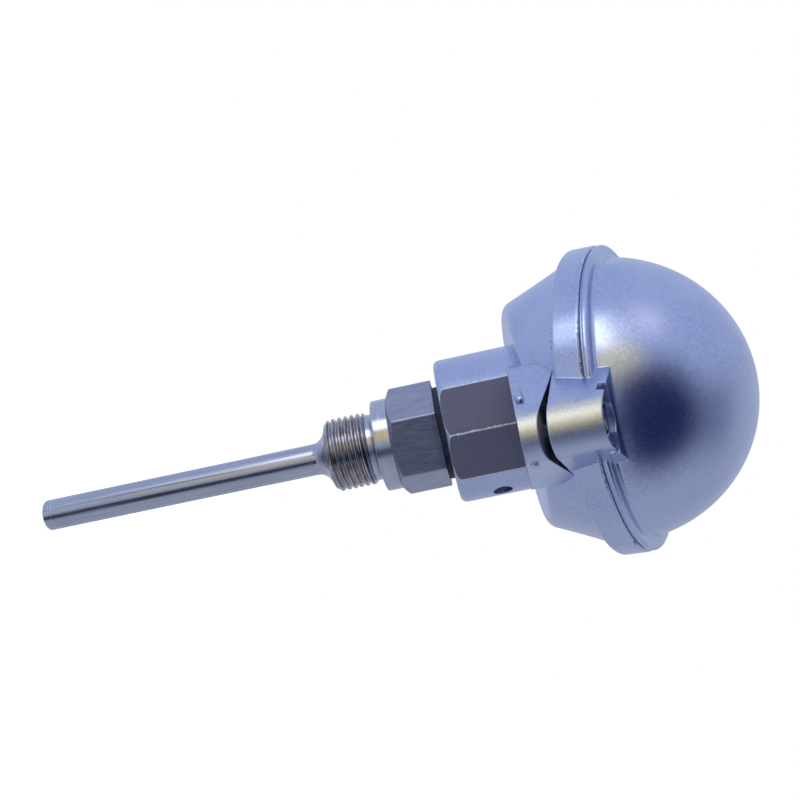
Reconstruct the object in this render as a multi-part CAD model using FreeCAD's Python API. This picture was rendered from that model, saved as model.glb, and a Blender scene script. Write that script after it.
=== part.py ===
import FreeCAD, Part
import math
import os

# Resistance thermometer with a hinged connection head.
# Frame, in millimetres: the origin lies on the probe axis in the sealing face of the collar,
# +Z runs along the axis to the head, -Z to the tip, -Y is the side of the screw lug,
# +Y the side of the hinge and the cable entry.

V = FreeCAD.Vector
ORIGIN = V(0, 0, 0)
X_AXIS = V(1, 0, 0)
Y_AXIS = V(0, 1, 0)
Z_AXIS = V(0, 0, 1)

# How far a cutter reaches past the face that it opens
over = 1.0

# Stem
insertion_length = 101.0
tube_diameter = 9.0
tube_wall = 1.0
end_plug_thickness = 3.0
end_plug_spigot = 2.0
end_plug_edge = 0.5
tube_socket_depth = 12.0
tube_spigot_step = 0.5           # the tube's end is turned down to seat in the fitting

# Process fitting: foot flare, pipe thread, groove, collar, hexagon, head thread
thread_diameter = 20.955
thread_length = 11.1
thread_undercut = 3.2
thread_chamfer = 1.1
flare_length = 5.0
flare_foot_wall = 0.5
flare_step = 1.88                # from the thread's radius in to the widest flare
flare_curve_across = 0.22        # the flare's middle point, as parts of its width and length
flare_curve_along = 0.6
groove_depth = 0.98
collar_diameter = 26.2
collar_thickness = 4.7
collar_edge = 0.5
hex_across_flats = 27.0
hex_length = 13.3
hex_turn = 3.0
hex_chamfer_angle = 30.0
head_thread_diameter = 24.0
head_thread_length = 14.0
head_thread_relief = 1.2

# Neck of the head
neck_gap = 1.7
neck_diameter = 41.0
neck_length = 22.0
neck_root = 2.0                  # how far the neck is sunk into the floor
neck_edge = 1.8
neck_flat_angle = 36.4
neck_flat_turn = -2.0
neck_passage_diameter = 18.0
neck_shoulder_gap = 1.6
gasket_width = 1.1
gasket_fit = 0.15
grub_diameter = 5.0
grub_hole_diameter = 5.4
grub_length = 6.5
grub_recess = 1.9
grub_angle = 61.0
grub_rise = 11.9

# Head body
body_height = 22.2               # from the underside of the bowl to the centre of the rim
body_bottom_radius = 31.2
body_bottom_fillet = 4.0
floor_thickness = 3.6
floor_corner_wall = 2.7
rim_tilt = 24.0
rim_center_y = -3.4
rim_radius = 39.6
rim_wall = 3.2
rim_land = 0.6
lip_height = 2.5
post_root = 0.5                  # how far each post is sunk into the floor
post_diameter = 8.0
post_height = 2.6

# Cover
skirt_clearance = 0.4
skirt_wall = 2.2
band_height = 7.2
band_draft = 0.3
band_top_edge = 0.7
band_bottom_edge = 1.0
shoulder_groove_depth = 1.2      # these three steps go in from the outside of the band
shoulder_step = 0.6
dome_step = 3.2
shoulder_groove_width = 0.6
shoulder_rise = 1.2
shoulder_edge = 0.9
dome_center_height = 0.6
dome_wall = 3.0
dome_fillet = 1.2
cover_gasket_thickness = 2.0
cover_gasket_fit = 0.2

# Screw lugs
lug_reach = 13.25                # from the band's front to the tip of the lugs
lug_front_radius = 6.4
lug_half_width = 10.4
lug_width_setback = 13.0
lug_root_setback = 22.2
lug_length = 41.2
lug_drop = 5.4                   # from the underside of the bowl down to the lug's front
lug_underside_slant = 4.0
lug_seat_drop = 0.58             # below the plane of the rim
lug_split_gap = 0.48
lug_split_slant = 6.5
lug_split_inset = 0.24           # from the band's outside in to the line of the split
screw_reach = 3.34               # from the band's outside to the screw's axis
screw_face_rise = 3.28
counterbore_diameter = 10.2
counterbore_depth = 4.6
counterbore_web = 1.4
relief_diameter = 8.4
channel_half_length = 8.4
channel_width = 3.2
channel_depth = 1.8
channel_offset = 2.2

# Captive cover screw and its ring
screw_core_diameter = 4.1
screw_hole_diameter = 5.2
screw_shank_hole_diameter = 5.4
screw_head_diameter = 8.4
screw_head_height = 3.0
screw_head_edge = 0.4
screw_slot_width = 1.3
screw_slot_depth = 1.4
screw_slot_turn = 38.0
screw_length = 12.2
screw_tip_chamfer = 0.9
screw_hole_depth = 5.0
screw_countersink = 0.8
ring_groove_diameter = 3.4
ring_diameter = 7.6
ring_thickness = 0.6
ring_fit = 0.05
ring_seat_gap = 0.1

# Hinge
hinge_height = 0.8
hinge_pin_diameter = 4.0
hinge_pin_fit = 0.05
ear_radius = 4.2
ear_thickness = 5.0
ear_gap = 0.3
ear_root_inset = 2.2
ear_setback = 0.6
knuckle_radius = 4.0
knuckle_width = 12.0
hinge_reach = 0.7
hinge_pin_overhang = 0.4

# Cable entry and gland
entry_rise = 14.5                # axis above the underside of the bowl
entry_boss_diameter = 26.4
entry_boss_reach = 8.85          # past the back of the band
entry_boss_length = 18.0
entry_thread_diameter = 20.0
gland_thread_length = 9.0
gland_thread_fit = 0.1
gland_washer_thickness = 1.2
gland_washer_width = 2.2
gland_hex = 24.0
gland_hex_turn = 30.0
gland_hex_length = 5.5
gland_bore = 10.5
gland_stem_diameter = 18.0
gland_stem_wall = 2.0
gland_stem_length = 9.0
gland_nut_length = 13.0
gland_nut_gap = 0.8
gland_nut_mouth = 11.5
gland_nut_lip = 1.5
gland_nut_edge = 0.6
gland_nut_shoulder = 2.0
gland_nut_fit = 0.1
gland_seal_bore = 8.0
gland_seal_length = 9.0
gland_seal_seat = 3.0
gland_end_gap = 0.2

# Measuring insert
sheath_diameter = 6.0
sheath_rise = 3.0
insert_disc_diameter = 42.0
insert_disc_thickness = 1.6
insert_hub_diameter = 10.0
insert_hub_length = 5.0
insert_hole_spacing = 33.0
block_height = 11.0
block_bore = 12.0
block_edge = 0.6
spring_pocket_diameter = 8.4
spring_pocket_floor = 2.4
terminal_count = 4
terminal_radius = 12.6
terminal_width = 6.4
terminal_length = 8.4
terminal_height = 4.2
terminal_pocket = 1.6
terminal_fit = 0.15
terminal_screw_diameter = 3.0
terminal_screw_depth = 3.0
terminal_head_diameter = 5.2
terminal_head_height = 2.0
wire_diameter = 1.2
wire_spacing = 1.35
wire_bend = 3.0
wire_rise = 0.3                  # above the middle of the clamp
wire_end_gap = 0.4

# Insert screws, springs and earth screw
blind_end_gap = 0.3              # room below the tip of a screw in its blind hole
insert_screw_diameter = 4.0
insert_screw_hole = 4.6
insert_head_diameter = 7.0
insert_head_height = 2.6
spring_length = 8.2
spring_wire = 0.8
spring_turns = 5
spring_mean_diameter = 5.8
spring_sections = 14             # sections in each turn of the loft
earth_screw_diameter = 4.0
earth_washer_diameter = 6.4
earth_head_diameter = 5.8
earth_head_height = 2.4
earth_washer_thickness = 0.8
earth_screw_length = 2.6
earth_angle = 52.0
earth_radius = 25.0

# Driver slots of the small screws
small_slot_width = 0.8
small_slot_depth = 1.0
wide_slot_width = 1.0
wide_slot_depth = 1.2

# Heights along the probe axis, from the tip up
tube_radius = tube_diameter / 2
tube_bore_radius = tube_radius - tube_wall
tube_spigot_radius = tube_radius - tube_spigot_step
thread_radius = thread_diameter / 2
thread_end = thread_undercut
thread_start = thread_end + thread_length
fitting_foot = -thread_start - flare_length
socket_top = fitting_foot + tube_socket_depth
groove_radius = thread_radius - groove_depth
flare_top_radius = thread_radius - flare_step
collar_radius = collar_diameter / 2
hex_top = collar_thickness + hex_length
head_thread_radius = head_thread_diameter / 2
neck_radius = neck_diameter / 2
neck_bottom = hex_top + neck_gap
fitting_top = neck_bottom + head_thread_length
grub_height = neck_bottom + grub_rise
body_bottom = neck_bottom + neck_length
cavity_floor = body_bottom + floor_thickness
cavity_floor_radius = body_bottom_radius - floor_corner_wall
post_top = cavity_floor + post_height
disc_top = post_top + insert_disc_thickness
block_bottom = disc_top
block_top = block_bottom + block_height
entry_height = body_bottom + entry_rise

# The slanted rim: its centre, the direction along it towards the hinge and its own axis
rim_center_z = body_bottom + body_height
rim_center = V(0, rim_center_y, rim_center_z)
rim_across = V(0, math.cos(math.radians(rim_tilt)), math.sin(math.radians(rim_tilt)))
rim_axis = V(0, -rim_across.z, rim_across.y)
cavity_rim_radius = rim_radius - rim_wall
skirt_inner_radius = rim_radius + skirt_clearance
band_radius = skirt_inner_radius + skirt_wall
shoulder_groove_radius = band_radius - shoulder_groove_depth
shoulder_radius = band_radius - shoulder_step
shoulder_height = band_height + shoulder_groove_width + shoulder_rise
dome_radius = band_radius - dome_step
gasket_seat_height = lip_height + cover_gasket_thickness
hinge_distance = band_radius + ear_radius + hinge_reach

# Lugs and cable entry, placed from the band
lug_front_y = rim_center_y - band_radius * rim_across.y - lug_reach
lug_bottom = body_bottom - lug_drop
split_distance = band_radius - lug_split_inset
screw_distance = band_radius + screw_reach
screw_face_height = shoulder_height + screw_face_rise
screw_face = rim_center - rim_across * screw_distance + rim_axis * screw_face_height
entry_boss_face = rim_center_y + band_radius * rim_across.y + entry_boss_reach
entry_boss_root = entry_boss_face - entry_boss_length


def save(name, shape):
    """Write one sub-part to its own file."""
    shape.exportStep(os.path.join("parts", name + ".step"))


def cylinder(radius, bottom, top, x=0.0, y=0.0):
    """Upright cylinder between two heights."""
    return Part.makeCylinder(radius, top - bottom, V(x, y, bottom), Z_AXIS)


def upright(point):
    """Point of the plane y = 0 from a (radius, height) pair."""
    return V(point[0], 0, point[1])


def revolve(edges_or_points):
    """Solid of revolution about Z from a closed outline of (radius, height) points.

    A three-point arc is given as a tuple ("arc", through, end).
    """
    edges = []
    start = edges_or_points[0]
    here = start
    for item in edges_or_points[1:] + [start]:
        if item[0] == "arc":
            through, end = item[1], item[2]
            edges.append(Part.Arc(upright(here), upright(through), upright(end)).toShape())
            here = end
        elif item != here:
            edges.append(Part.LineSegment(upright(here), upright(item)).toShape())
            here = item
    face = Part.Face(Part.Wire(edges))
    return Part.makeSolid(face.revolve(ORIGIN, Z_AXIS, 360).Shells[0])


def prism(points, height, base=0.0):
    """Straight prism over a closed polygon of (x, y) points."""
    corners = [V(x, y, base) for x, y in points]
    return Part.Face(Part.makePolygon(corners + corners[:1])).extrude(V(0, 0, height))


def hexagon(across_flats, bottom, top, turn=0.0):
    """Hexagonal prism with one flat facing -Y, turned about Z by a few degrees."""
    radius = across_flats / 2 / math.cos(math.radians(30))
    points = []
    for k in range(6):
        angle = math.radians(turn + 60 * k)
        points.append((radius * math.cos(angle), radius * math.sin(angle)))
    return prism(points, top - bottom, bottom)


def on_rim(shape):
    """Bring a shape drawn about the rim's own axis into the slanted rim plane."""
    moved = shape.copy()
    moved.rotate(ORIGIN, X_AXIS, rim_tilt)
    moved.translate(rim_center)
    return moved


def on_screw(shape):
    """Bring a shape drawn about Z, with its zero at the lug face, onto the cover screw's axis."""
    moved = shape.copy()
    moved.rotate(ORIGIN, X_AXIS, rim_tilt)
    moved.translate(screw_face)
    return moved


def on_entry(shape):
    """Bring a shape drawn about Z onto the cable entry's axis, which runs along +Y."""
    moved = shape.copy()
    moved.rotate(ORIGIN, X_AXIS, -90)
    moved.translate(V(0, 0, entry_height))
    return moved


def half_space(point, tilt, above):
    """Large block above or below a plane through a point, that falls towards -Y by the tilt."""
    size = 4 * band_radius
    low = 0.0 if above else -size
    block = Part.makeBox(size, size, size, V(-size / 2, -size / 2, low))
    block.rotate(ORIGIN, X_AXIS, tilt)
    block.translate(point)
    return block


def slanted_loft(bottom_radius, bottom_z, rim_circle_radius, rim_height):
    """Shell that runs from a level circle to the slanted circle of the rim."""
    low = Part.Circle(V(0, 0, bottom_z), Z_AXIS, bottom_radius).toShape()
    high = on_rim(Part.Circle(V(0, 0, rim_height), Z_AXIS, rim_circle_radius).toShape())
    return Part.makeLoft([Part.Wire(low), Part.Wire(high)], True, True)


def protection_tube():
    """Drilled rod from its welded plug up into the socket of the fitting."""
    bottom = -insertion_length + end_plug_thickness
    tube = cylinder(tube_radius, bottom, fitting_foot)
    tube = tube.fuse(cylinder(tube_spigot_radius, bottom, socket_top))
    return tube.cut(cylinder(tube_bore_radius, bottom - over, socket_top + over)).removeSplitter()


def tube_end_plug():
    """Round plug that closes the tip, with a short spigot in the bore."""
    bottom = -insertion_length
    seam = bottom + end_plug_thickness
    edge = end_plug_edge
    bulge = edge * (1 - math.sqrt(0.5))
    return revolve([
        (0, bottom),
        (tube_radius - edge, bottom),
        ("arc", (tube_radius - bulge, bottom + bulge), (tube_radius, bottom + edge)),
        (tube_radius, seam),
        (tube_bore_radius, seam),
        (tube_bore_radius, seam + end_plug_spigot),
        (0, seam + end_plug_spigot),
    ])


def process_fitting():
    """Turned fitting: flared foot, pipe thread, collar, hexagon and head thread in one piece."""
    foot = fitting_foot
    foot_radius = tube_radius + flare_foot_wall
    flare_width = flare_top_radius - foot_radius
    middle = (foot_radius + flare_curve_across * flare_width, foot + flare_curve_along * flare_length)
    relief_radius = head_thread_radius - head_thread_relief
    turned = revolve([
        (tube_spigot_radius, foot),
        (foot_radius, foot),
        ("arc", middle, (flare_top_radius, -thread_start)),
        (thread_radius - thread_chamfer, -thread_start),
        (thread_radius, -thread_start + thread_chamfer),
        (thread_radius, -thread_end),
        (groove_radius, -thread_end + groove_depth),
        (groove_radius, -groove_depth),
        (thread_radius, 0),
        (collar_radius - collar_edge, 0),
        (collar_radius, collar_edge),
        (collar_radius, collar_thickness),
        (relief_radius, collar_thickness),
        (relief_radius, neck_bottom),
        (head_thread_radius, neck_bottom + head_thread_relief),
        (head_thread_radius, fitting_top - thread_chamfer),
        (head_thread_radius - thread_chamfer, fitting_top),
        (tube_bore_radius, fitting_top),
        (tube_bore_radius, socket_top),
        (tube_spigot_radius, socket_top),
    ])
    spanner = hexagon(hex_across_flats, collar_thickness, hex_top, hex_turn)
    corner_radius = hex_across_flats / 2 / math.cos(math.radians(30))
    cone_start = hex_across_flats / 2
    slope = math.tan(math.radians(hex_chamfer_angle))
    cone_rise = (corner_radius + over - cone_start) * slope
    cone = revolve([
        (0, collar_thickness),
        (cone_start, collar_thickness),
        (corner_radius + over, collar_thickness + cone_rise),
        (corner_radius + over, hex_top),
        (0, hex_top),
    ])
    spanner = spanner.common(cone)
    spanner = spanner.cut(cylinder(tube_bore_radius, collar_thickness - over, hex_top + over))
    return turned.fuse(spanner).removeSplitter()


def neck_gasket():
    """Flat ring between hexagon and neck."""
    inner = head_thread_radius + gasket_fit
    ring = cylinder(inner + gasket_width, hex_top, neck_bottom)
    return ring.cut(cylinder(inner, hex_top - over, neck_bottom + over))


def neck_solid():
    """Round neck with a rounded end and two pairs of spanner flats."""
    bulge = neck_edge * (1 - math.sqrt(0.5))
    neck = revolve([
        (0, neck_bottom),
        (neck_radius - neck_edge, neck_bottom),
        ("arc", (neck_radius - bulge, neck_bottom + bulge), (neck_radius, neck_bottom + neck_edge)),
        (neck_radius, body_bottom + neck_root),
        (0, body_bottom + neck_root),
    ])
    flat_distance = neck_radius * math.cos(math.radians(neck_flat_angle / 2))
    span = neck_diameter
    for side in (0, 180):
        for direction in (-1, 1):
            cutter = Part.makeBox(span, span, neck_length, V(-span / 2, flat_distance, neck_bottom))
            turn = 180 + side + neck_flat_turn + direction * neck_flat_angle / 2
            cutter.rotate(ORIGIN, Z_AXIS, turn)
            neck = neck.cut(cutter)
    return neck


def lug_profile(bottom, top):
    """Screw boss: a half-round front whose tangent flanks run back into the casting."""
    center_y = lug_front_y + lug_front_radius
    width_y = lug_front_y + lug_width_setback
    root_y = lug_front_y + lug_root_setback
    heel_y = lug_front_y + lug_length
    reach = math.hypot(lug_half_width, width_y - center_y)
    toward = math.atan2(center_y - width_y, -lug_half_width)
    slope = toward + math.asin(lug_front_radius / reach)
    tangent_x = -lug_front_radius * math.sin(slope)
    tangent_y = center_y + lug_front_radius * math.cos(slope)
    root_x = lug_half_width + (root_y - width_y) / math.tan(slope)
    left = V(-tangent_x, tangent_y, 0)
    right = V(tangent_x, tangent_y, 0)
    front = Part.Arc(left, V(0, lug_front_y, 0), right).toShape()
    rest = Part.makePolygon([
        right,
        V(root_x, root_y, 0),
        V(root_x, heel_y, 0),
        V(-root_x, heel_y, 0),
        V(-root_x, root_y, 0),
        left,
    ])
    lug = Part.Face(Part.Wire([front] + rest.Edges)).extrude(V(0, 0, top - bottom))
    lug.translate(V(0, 0, bottom))
    return lug


def hinge_pin_place():
    """Centre of the hinge pin in the plane x = 0."""
    return on_rim(Part.Vertex(V(0, hinge_distance, hinge_height))).Point


def rim_point(distance, height):
    """Point (y, z) in the plane x = 0, from its distance and height in the rim's own frame."""
    point = on_rim(Part.Vertex(V(0, distance, height))).Point
    return point.y, point.z


def side_plate(points, thickness):
    """Plate across X, centred on x = 0, over an outline of (y, z) points."""
    corners = [V(-thickness / 2, y, z) for y, z in points]
    return Part.Face(Part.makePolygon(corners + corners[:1])).extrude(V(thickness, 0, 0))


def pin_cylinder(radius, half_length):
    """Cylinder along the hinge axis."""
    start = hinge_pin_place() + V(-half_length, 0, 0)
    return Part.makeCylinder(radius, 2 * half_length, start, X_AXIS)


def hinge_ear(side):
    """One ear of the body beside the cover's knuckle."""
    offset = side * (knuckle_width / 2 + ear_gap + ear_thickness / 2)
    front = band_radius + hinge_reach / 2
    back = entry_boss_face - ear_setback
    rim_y, rim_z = rim_point(rim_radius, 0)
    flank_slope = (rim_y - body_bottom_radius) / (rim_z - body_bottom)
    root_y = body_bottom_radius + flank_slope * (entry_height - body_bottom) - ear_root_inset
    outline = [
        (root_y, entry_height),
        rim_point(rim_radius - ear_root_inset, -hinge_reach),
        rim_point(front, -hinge_reach),
        rim_point(front, hinge_height),
        rim_point(hinge_distance + ear_radius, hinge_height),
        (back, entry_height + entry_boss_diameter / 2),
        (back, entry_height),
    ]
    start = hinge_pin_place() + V(-ear_thickness / 2, 0, 0)
    ear = side_plate(outline, ear_thickness)
    ear = ear.fuse(Part.makeCylinder(ear_radius, ear_thickness, start, X_AXIS))
    ear.translate(V(offset, 0, 0))
    return ear


def head_body():
    """Die-cast lower half of the head."""
    shell = slanted_loft(body_bottom_radius, body_bottom, rim_radius, 0.0)
    foot = [e for e in shell.Edges if e.BoundBox.ZMax < body_bottom + 0.01]
    shell = shell.makeFillet(body_bottom_fillet, foot)
    boss = on_entry(cylinder(entry_boss_diameter / 2, entry_boss_root, entry_boss_face))
    body = shell.fuse(on_rim(cylinder(rim_radius, -rim_land, lip_height)))
    for extra in (boss, hinge_ear(-1), hinge_ear(1)):
        body = body.fuse(extra)
    cavity = slanted_loft(cavity_floor_radius, cavity_floor, cavity_rim_radius, lip_height + over)
    lug = lug_profile(lug_bottom - over, rim_center_z)
    lug = lug.common(half_space(V(0, lug_front_y, lug_bottom), lug_underside_slant, True))
    lug = lug.common(half_space(rim_center - rim_axis * lug_seat_drop, rim_tilt, False))
    body = body.cut(cavity)
    body = body.fuse(neck_solid())
    body = body.fuse(lug.cut(cavity))
    entry_hole_start = entry_boss_root - floor_thickness
    screw_tip = insert_screw_end() - blind_end_gap
    holes = [
        cylinder(head_thread_radius, neck_bottom - over, fitting_top + neck_shoulder_gap),
        cylinder(neck_passage_diameter / 2, neck_bottom, cavity_floor + over),
        on_entry(cylinder(entry_thread_diameter / 2, entry_hole_start, entry_boss_face + over)),
        on_screw(screw_hole()),
        pin_cylinder(hinge_pin_diameter / 2, knuckle_width / 2 + ear_gap + ear_thickness + over),
        grub_cylinder(grub_hole_diameter / 2, head_thread_radius - over, neck_radius + over),
        earth_cylinder(earth_screw_diameter / 2, cavity_floor - earth_screw_length, cavity_floor + over),
    ]
    for side in (-1, 1):
        x = side * insert_hole_spacing / 2
        body = body.fuse(cylinder(post_diameter / 2, cavity_floor - post_root, post_top, x))
        holes.append(cylinder(insert_screw_diameter / 2, screw_tip, post_top + over, x))
    for hole in holes:
        body = body.cut(hole)
    return body


def screw_hole():
    """Threaded blind hole with its countersink, drawn from the cover's lug face."""
    mouth = -body_lug_depth()
    radius = screw_hole_diameter / 2
    return revolve([
        (0, mouth + over),
        (radius + screw_countersink + over, mouth + over),
        (radius + screw_countersink, mouth),
        (radius, mouth - screw_countersink),
        (radius, mouth - screw_hole_depth),
        (0, mouth - screw_hole_depth),
    ])


def body_lug_depth():
    """Depth of the body's lug face below the cover's lug face, along the screw."""
    return screw_face_height + lug_seat_drop


def cover_lug_depth():
    """Length of the cover's lug along the screw. Its underside falls away from the split line."""
    rise = (screw_distance - split_distance) * math.tan(math.radians(lug_split_slant))
    return body_lug_depth() - lug_split_gap - rise


def grub_cylinder(radius, inner, outer):
    """Radial cylinder in the neck between two distances from the axis."""
    angle = math.radians(grub_angle)
    direction = V(math.sin(angle), -math.cos(angle), 0)
    return Part.makeCylinder(radius, outer - inner, direction * inner + V(0, 0, grub_height), direction)


def earth_cylinder(radius, bottom, top):
    """Upright cylinder at the place of the earth screw."""
    angle = math.radians(earth_angle)
    return cylinder(radius, bottom, top, earth_radius * math.sin(angle), earth_radius * math.cos(angle))


def insert_screw_end():
    """Lower end of the insert screws in their posts."""
    return cavity_floor - floor_thickness / 2


def rounded(radius, height, edge, side, outward):
    """Quarter-round at an outer corner, on its lower side (-1) or upper side (1)."""
    inset = edge * (1 - math.sqrt(0.5))
    end = (radius, height - side * edge) if outward else (radius - edge, height)
    return ("arc", (radius - inset, height - side * inset), end)


def cover():
    """Die-cast dome with its rim band, screw lug and hinge knuckle."""
    top = dome_center_height + dome_radius
    half = math.sqrt(0.5)
    groove_top = band_height + shoulder_groove_width
    fillet_top = shoulder_height + dome_fillet
    fillet_radius = math.sqrt(dome_radius ** 2 - (fillet_top - dome_center_height) ** 2)
    fillet_inset = dome_fillet * (1 - half)
    fillet_middle = (fillet_radius + fillet_inset, shoulder_height + fillet_inset)
    upper_radius = band_radius - band_draft
    outside = revolve([
        (0, 0),
        (band_radius - band_bottom_edge, 0),
        rounded(band_radius, 0, band_bottom_edge, -1, True),
        (upper_radius, band_height - band_top_edge),
        rounded(upper_radius, band_height, band_top_edge, 1, False),
        (shoulder_groove_radius, band_height),
        (shoulder_groove_radius, groove_top),
        (shoulder_radius, groove_top),
        (shoulder_radius, shoulder_height - shoulder_edge),
        rounded(shoulder_radius, shoulder_height, shoulder_edge, 1, False),
        (fillet_radius + dome_fillet, shoulder_height),
        ("arc", fillet_middle, (fillet_radius, fillet_top)),
        ("arc", (dome_radius * half, dome_center_height + dome_radius * half), (0, top)),
    ])
    inner_radius = dome_radius - dome_wall
    seat_radius = math.sqrt(inner_radius ** 2 - (dome_center_height - gasket_seat_height) ** 2)
    hollow = revolve([
        (0, -body_height),
        (skirt_inner_radius, -body_height),
        (skirt_inner_radius, gasket_seat_height),
        (seat_radius, gasket_seat_height),
        ("arc", (inner_radius * half, dome_center_height + inner_radius * half), (0, top - dome_wall)),
    ])
    split_line = rim_center - rim_across * split_distance + rim_axis * (lug_split_gap - lug_seat_drop)
    lug = lug_profile(lug_bottom, rim_center_z + dome_radius / 2)
    lug = lug.common(half_space(split_line, rim_tilt - lug_split_slant, True))
    lug = lug.common(half_space(screw_face, rim_tilt, False))
    knuckle = pin_cylinder(knuckle_radius, knuckle_width / 2)
    web = side_plate([
        rim_point(shoulder_groove_radius, 0),
        rim_point(shoulder_groove_radius, band_height - band_top_edge),
        rim_point(hinge_distance, hinge_height + knuckle_radius),
        rim_point(hinge_distance, hinge_height - knuckle_radius),
    ], knuckle_width)
    body = on_rim(outside).fuse([lug, knuckle, web])
    body = body.cut(on_rim(hollow))
    through = -body_lug_depth() - relief_diameter / 2
    relief_start = counterbore_depth + counterbore_web
    holes = [
        on_screw(cylinder(counterbore_diameter / 2, -counterbore_depth, counterbore_depth)),
        on_screw(cylinder(screw_shank_hole_diameter / 2, through, over)),
        on_screw(cylinder(relief_diameter / 2, through, -relief_start)),
        on_screw(channel()),
        pin_cylinder(hinge_pin_diameter / 2 + hinge_pin_fit, knuckle_width),
    ]
    return body.cut(holes).removeSplitter()


def channel():
    """Slot with round ends across the counterbore, a little nearer to the dome."""
    radius = channel_width / 2
    reach = channel_half_length - radius
    corner = V(-reach, channel_offset - radius, -channel_depth)
    box = Part.makeBox(2 * reach, channel_width, channel_depth + over, corner)
    ends = [cylinder(radius, -channel_depth, over, side * reach, channel_offset) for side in (-1, 1)]
    return box.fuse(ends)


def cover_gasket():
    """Flat rubber ring under the skirt, on the rim of the body."""
    ring = cylinder(skirt_inner_radius - cover_gasket_fit, lip_height, gasket_seat_height)
    hole = cylinder(cavity_rim_radius + cover_gasket_fit, lip_height - over, gasket_seat_height + over)
    return on_rim(ring.cut(hole))


def hinge_pin():
    """Straight pin pressed into the two ears."""
    half = knuckle_width / 2 + ear_gap + ear_thickness + hinge_pin_overhang
    return pin_cylinder(hinge_pin_diameter / 2, half)


def screw_retainer():
    """Ring in the groove of the screw, inside the relief of the cover's lug."""
    bottom = ring_bottom()
    ring = cylinder(ring_diameter / 2, bottom, bottom + ring_thickness)
    inner = cylinder(ring_groove_diameter / 2 + ring_fit, bottom - over, bottom + ring_thickness + over)
    return on_screw(ring.cut(inner))


def ring_bottom():
    """Lower face of the retaining ring at rest, measured from the counterbore face."""
    return -cover_lug_depth() + ring_thickness


def driver_slot(diameter, width, depth, top, turn, x=0.0, y=0.0):
    """Cutter for a straight slot across a screw head, at a turn about the screw's axis."""
    length = diameter + 2 * over
    box = Part.makeBox(length, width, depth + over, V(x - length / 2, y - width / 2, top - depth))
    box.rotate(V(x, y, 0), Z_AXIS, turn)
    return box


def cover_screw():
    """Slotted cheese-head screw whose plain core stands for its thread."""
    seat = -counterbore_depth
    head_top = seat + screw_head_height
    tip = seat - screw_length
    core = screw_core_diameter / 2
    groove = ring_groove_diameter / 2
    low = ring_bottom() - ring_seat_gap
    high = ring_bottom() + ring_thickness + ring_seat_gap
    head_radius = screw_head_diameter / 2
    screw = revolve([
        (0, tip),
        (core - screw_tip_chamfer, tip),
        (core, tip + screw_tip_chamfer),
        (core, low),
        (groove, low),
        (groove, high),
        (core, high),
        (core, seat),
        (head_radius, seat),
        (head_radius, head_top - screw_head_edge),
        (head_radius - screw_head_edge, head_top),
        (0, head_top),
    ])
    slot = driver_slot(screw_head_diameter, screw_slot_width, screw_slot_depth, head_top, screw_slot_turn)
    return on_screw(screw.cut(slot))


def neck_grub_screw():
    """Slotted grub screw that locks the head on the fitting."""
    outer = neck_radius - grub_recess
    screw = grub_cylinder(grub_diameter / 2, outer - grub_length, outer)
    slot = driver_slot(grub_diameter, small_slot_width, small_slot_depth, outer, 0)
    slot.rotate(ORIGIN, Y_AXIS, 90)
    slot.rotate(ORIGIN, Z_AXIS, grub_angle - 90)
    slot.translate(V(0, 0, grub_height))
    return screw.cut(slot)


def insert_sheath():
    """Mineral-insulated sheath from the plug in the tip to the terminal block."""
    bottom = -insertion_length + end_plug_thickness + end_plug_spigot
    return cylinder(sheath_diameter / 2, bottom, disc_top + sheath_rise)


def insert_disc():
    """Steel disc with its hub, welded to the sheath."""
    disc = cylinder(insert_disc_diameter / 2, post_top, disc_top)
    disc = disc.fuse(cylinder(insert_hub_diameter / 2, post_top - insert_hub_length, post_top))
    holes = [cylinder(sheath_diameter / 2, post_top - insert_hub_length - over, disc_top + over)]
    for side in (-1, 1):
        x = side * insert_hole_spacing / 2
        holes.append(cylinder(insert_screw_hole / 2, post_top - over, disc_top + over, x))
    return disc.cut(holes).removeSplitter()


def terminal_places():
    """Angles of the terminals round the block, evenly spaced clear of the spring pockets on the X axis."""
    step = 360 / terminal_count
    return [step / 2 + step * k for k in range(terminal_count)]


def terminal_spot(angle):
    """Centre (x, y) of the terminal at an angle."""
    turn = math.radians(angle)
    return terminal_radius * math.cos(turn), terminal_radius * math.sin(turn)


def terminal_box(width, length, bottom, top, angle):
    """Upright block at one terminal, its length along the radius."""
    box = Part.makeBox(length, width, top - bottom, V(terminal_radius - length / 2, -width / 2, bottom))
    box.rotate(ORIGIN, Z_AXIS, angle)
    return box


def terminal_block():
    """Ceramic disc with a wire hole, terminal pockets, spring pockets and screw holes."""
    block = cylinder(insert_disc_diameter / 2, block_bottom, block_top)
    top_edge = [e for e in block.Edges if e.BoundBox.ZMin > block_top - block_edge / 2]
    block = block.makeChamfer(block_edge, top_edge)
    pocket_floor = block_top - terminal_pocket
    width = terminal_width + 2 * terminal_fit
    length = terminal_length + 2 * terminal_fit
    screw_tip = terminal_screw_end() - blind_end_gap
    holes = [cylinder(block_bore / 2, block_bottom - over, block_top + over)]
    for angle in terminal_places():
        x, y = terminal_spot(angle)
        holes.append(terminal_box(width, length, pocket_floor, block_top + over, angle))
        holes.append(cylinder(terminal_screw_diameter / 2, screw_tip, block_top, x, y))
    radius = spring_pocket_diameter / 2
    floor = block_bottom + spring_pocket_floor
    for side in (-1, 1):
        x = side * insert_hole_spacing / 2
        holes.append(cylinder(insert_screw_hole / 2, block_bottom - over, block_top + over, x))
        holes.append(cylinder(radius, floor, block_top + over, x))
        slot = Part.makeBox(insert_disc_diameter / 2, 2 * radius, block_height, V(0, -radius, floor))
        slot.translate(V(x if side > 0 else x - insert_disc_diameter / 2, 0, 0))
        holes.append(slot)
    return block.cut(holes).removeSplitter()


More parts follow.
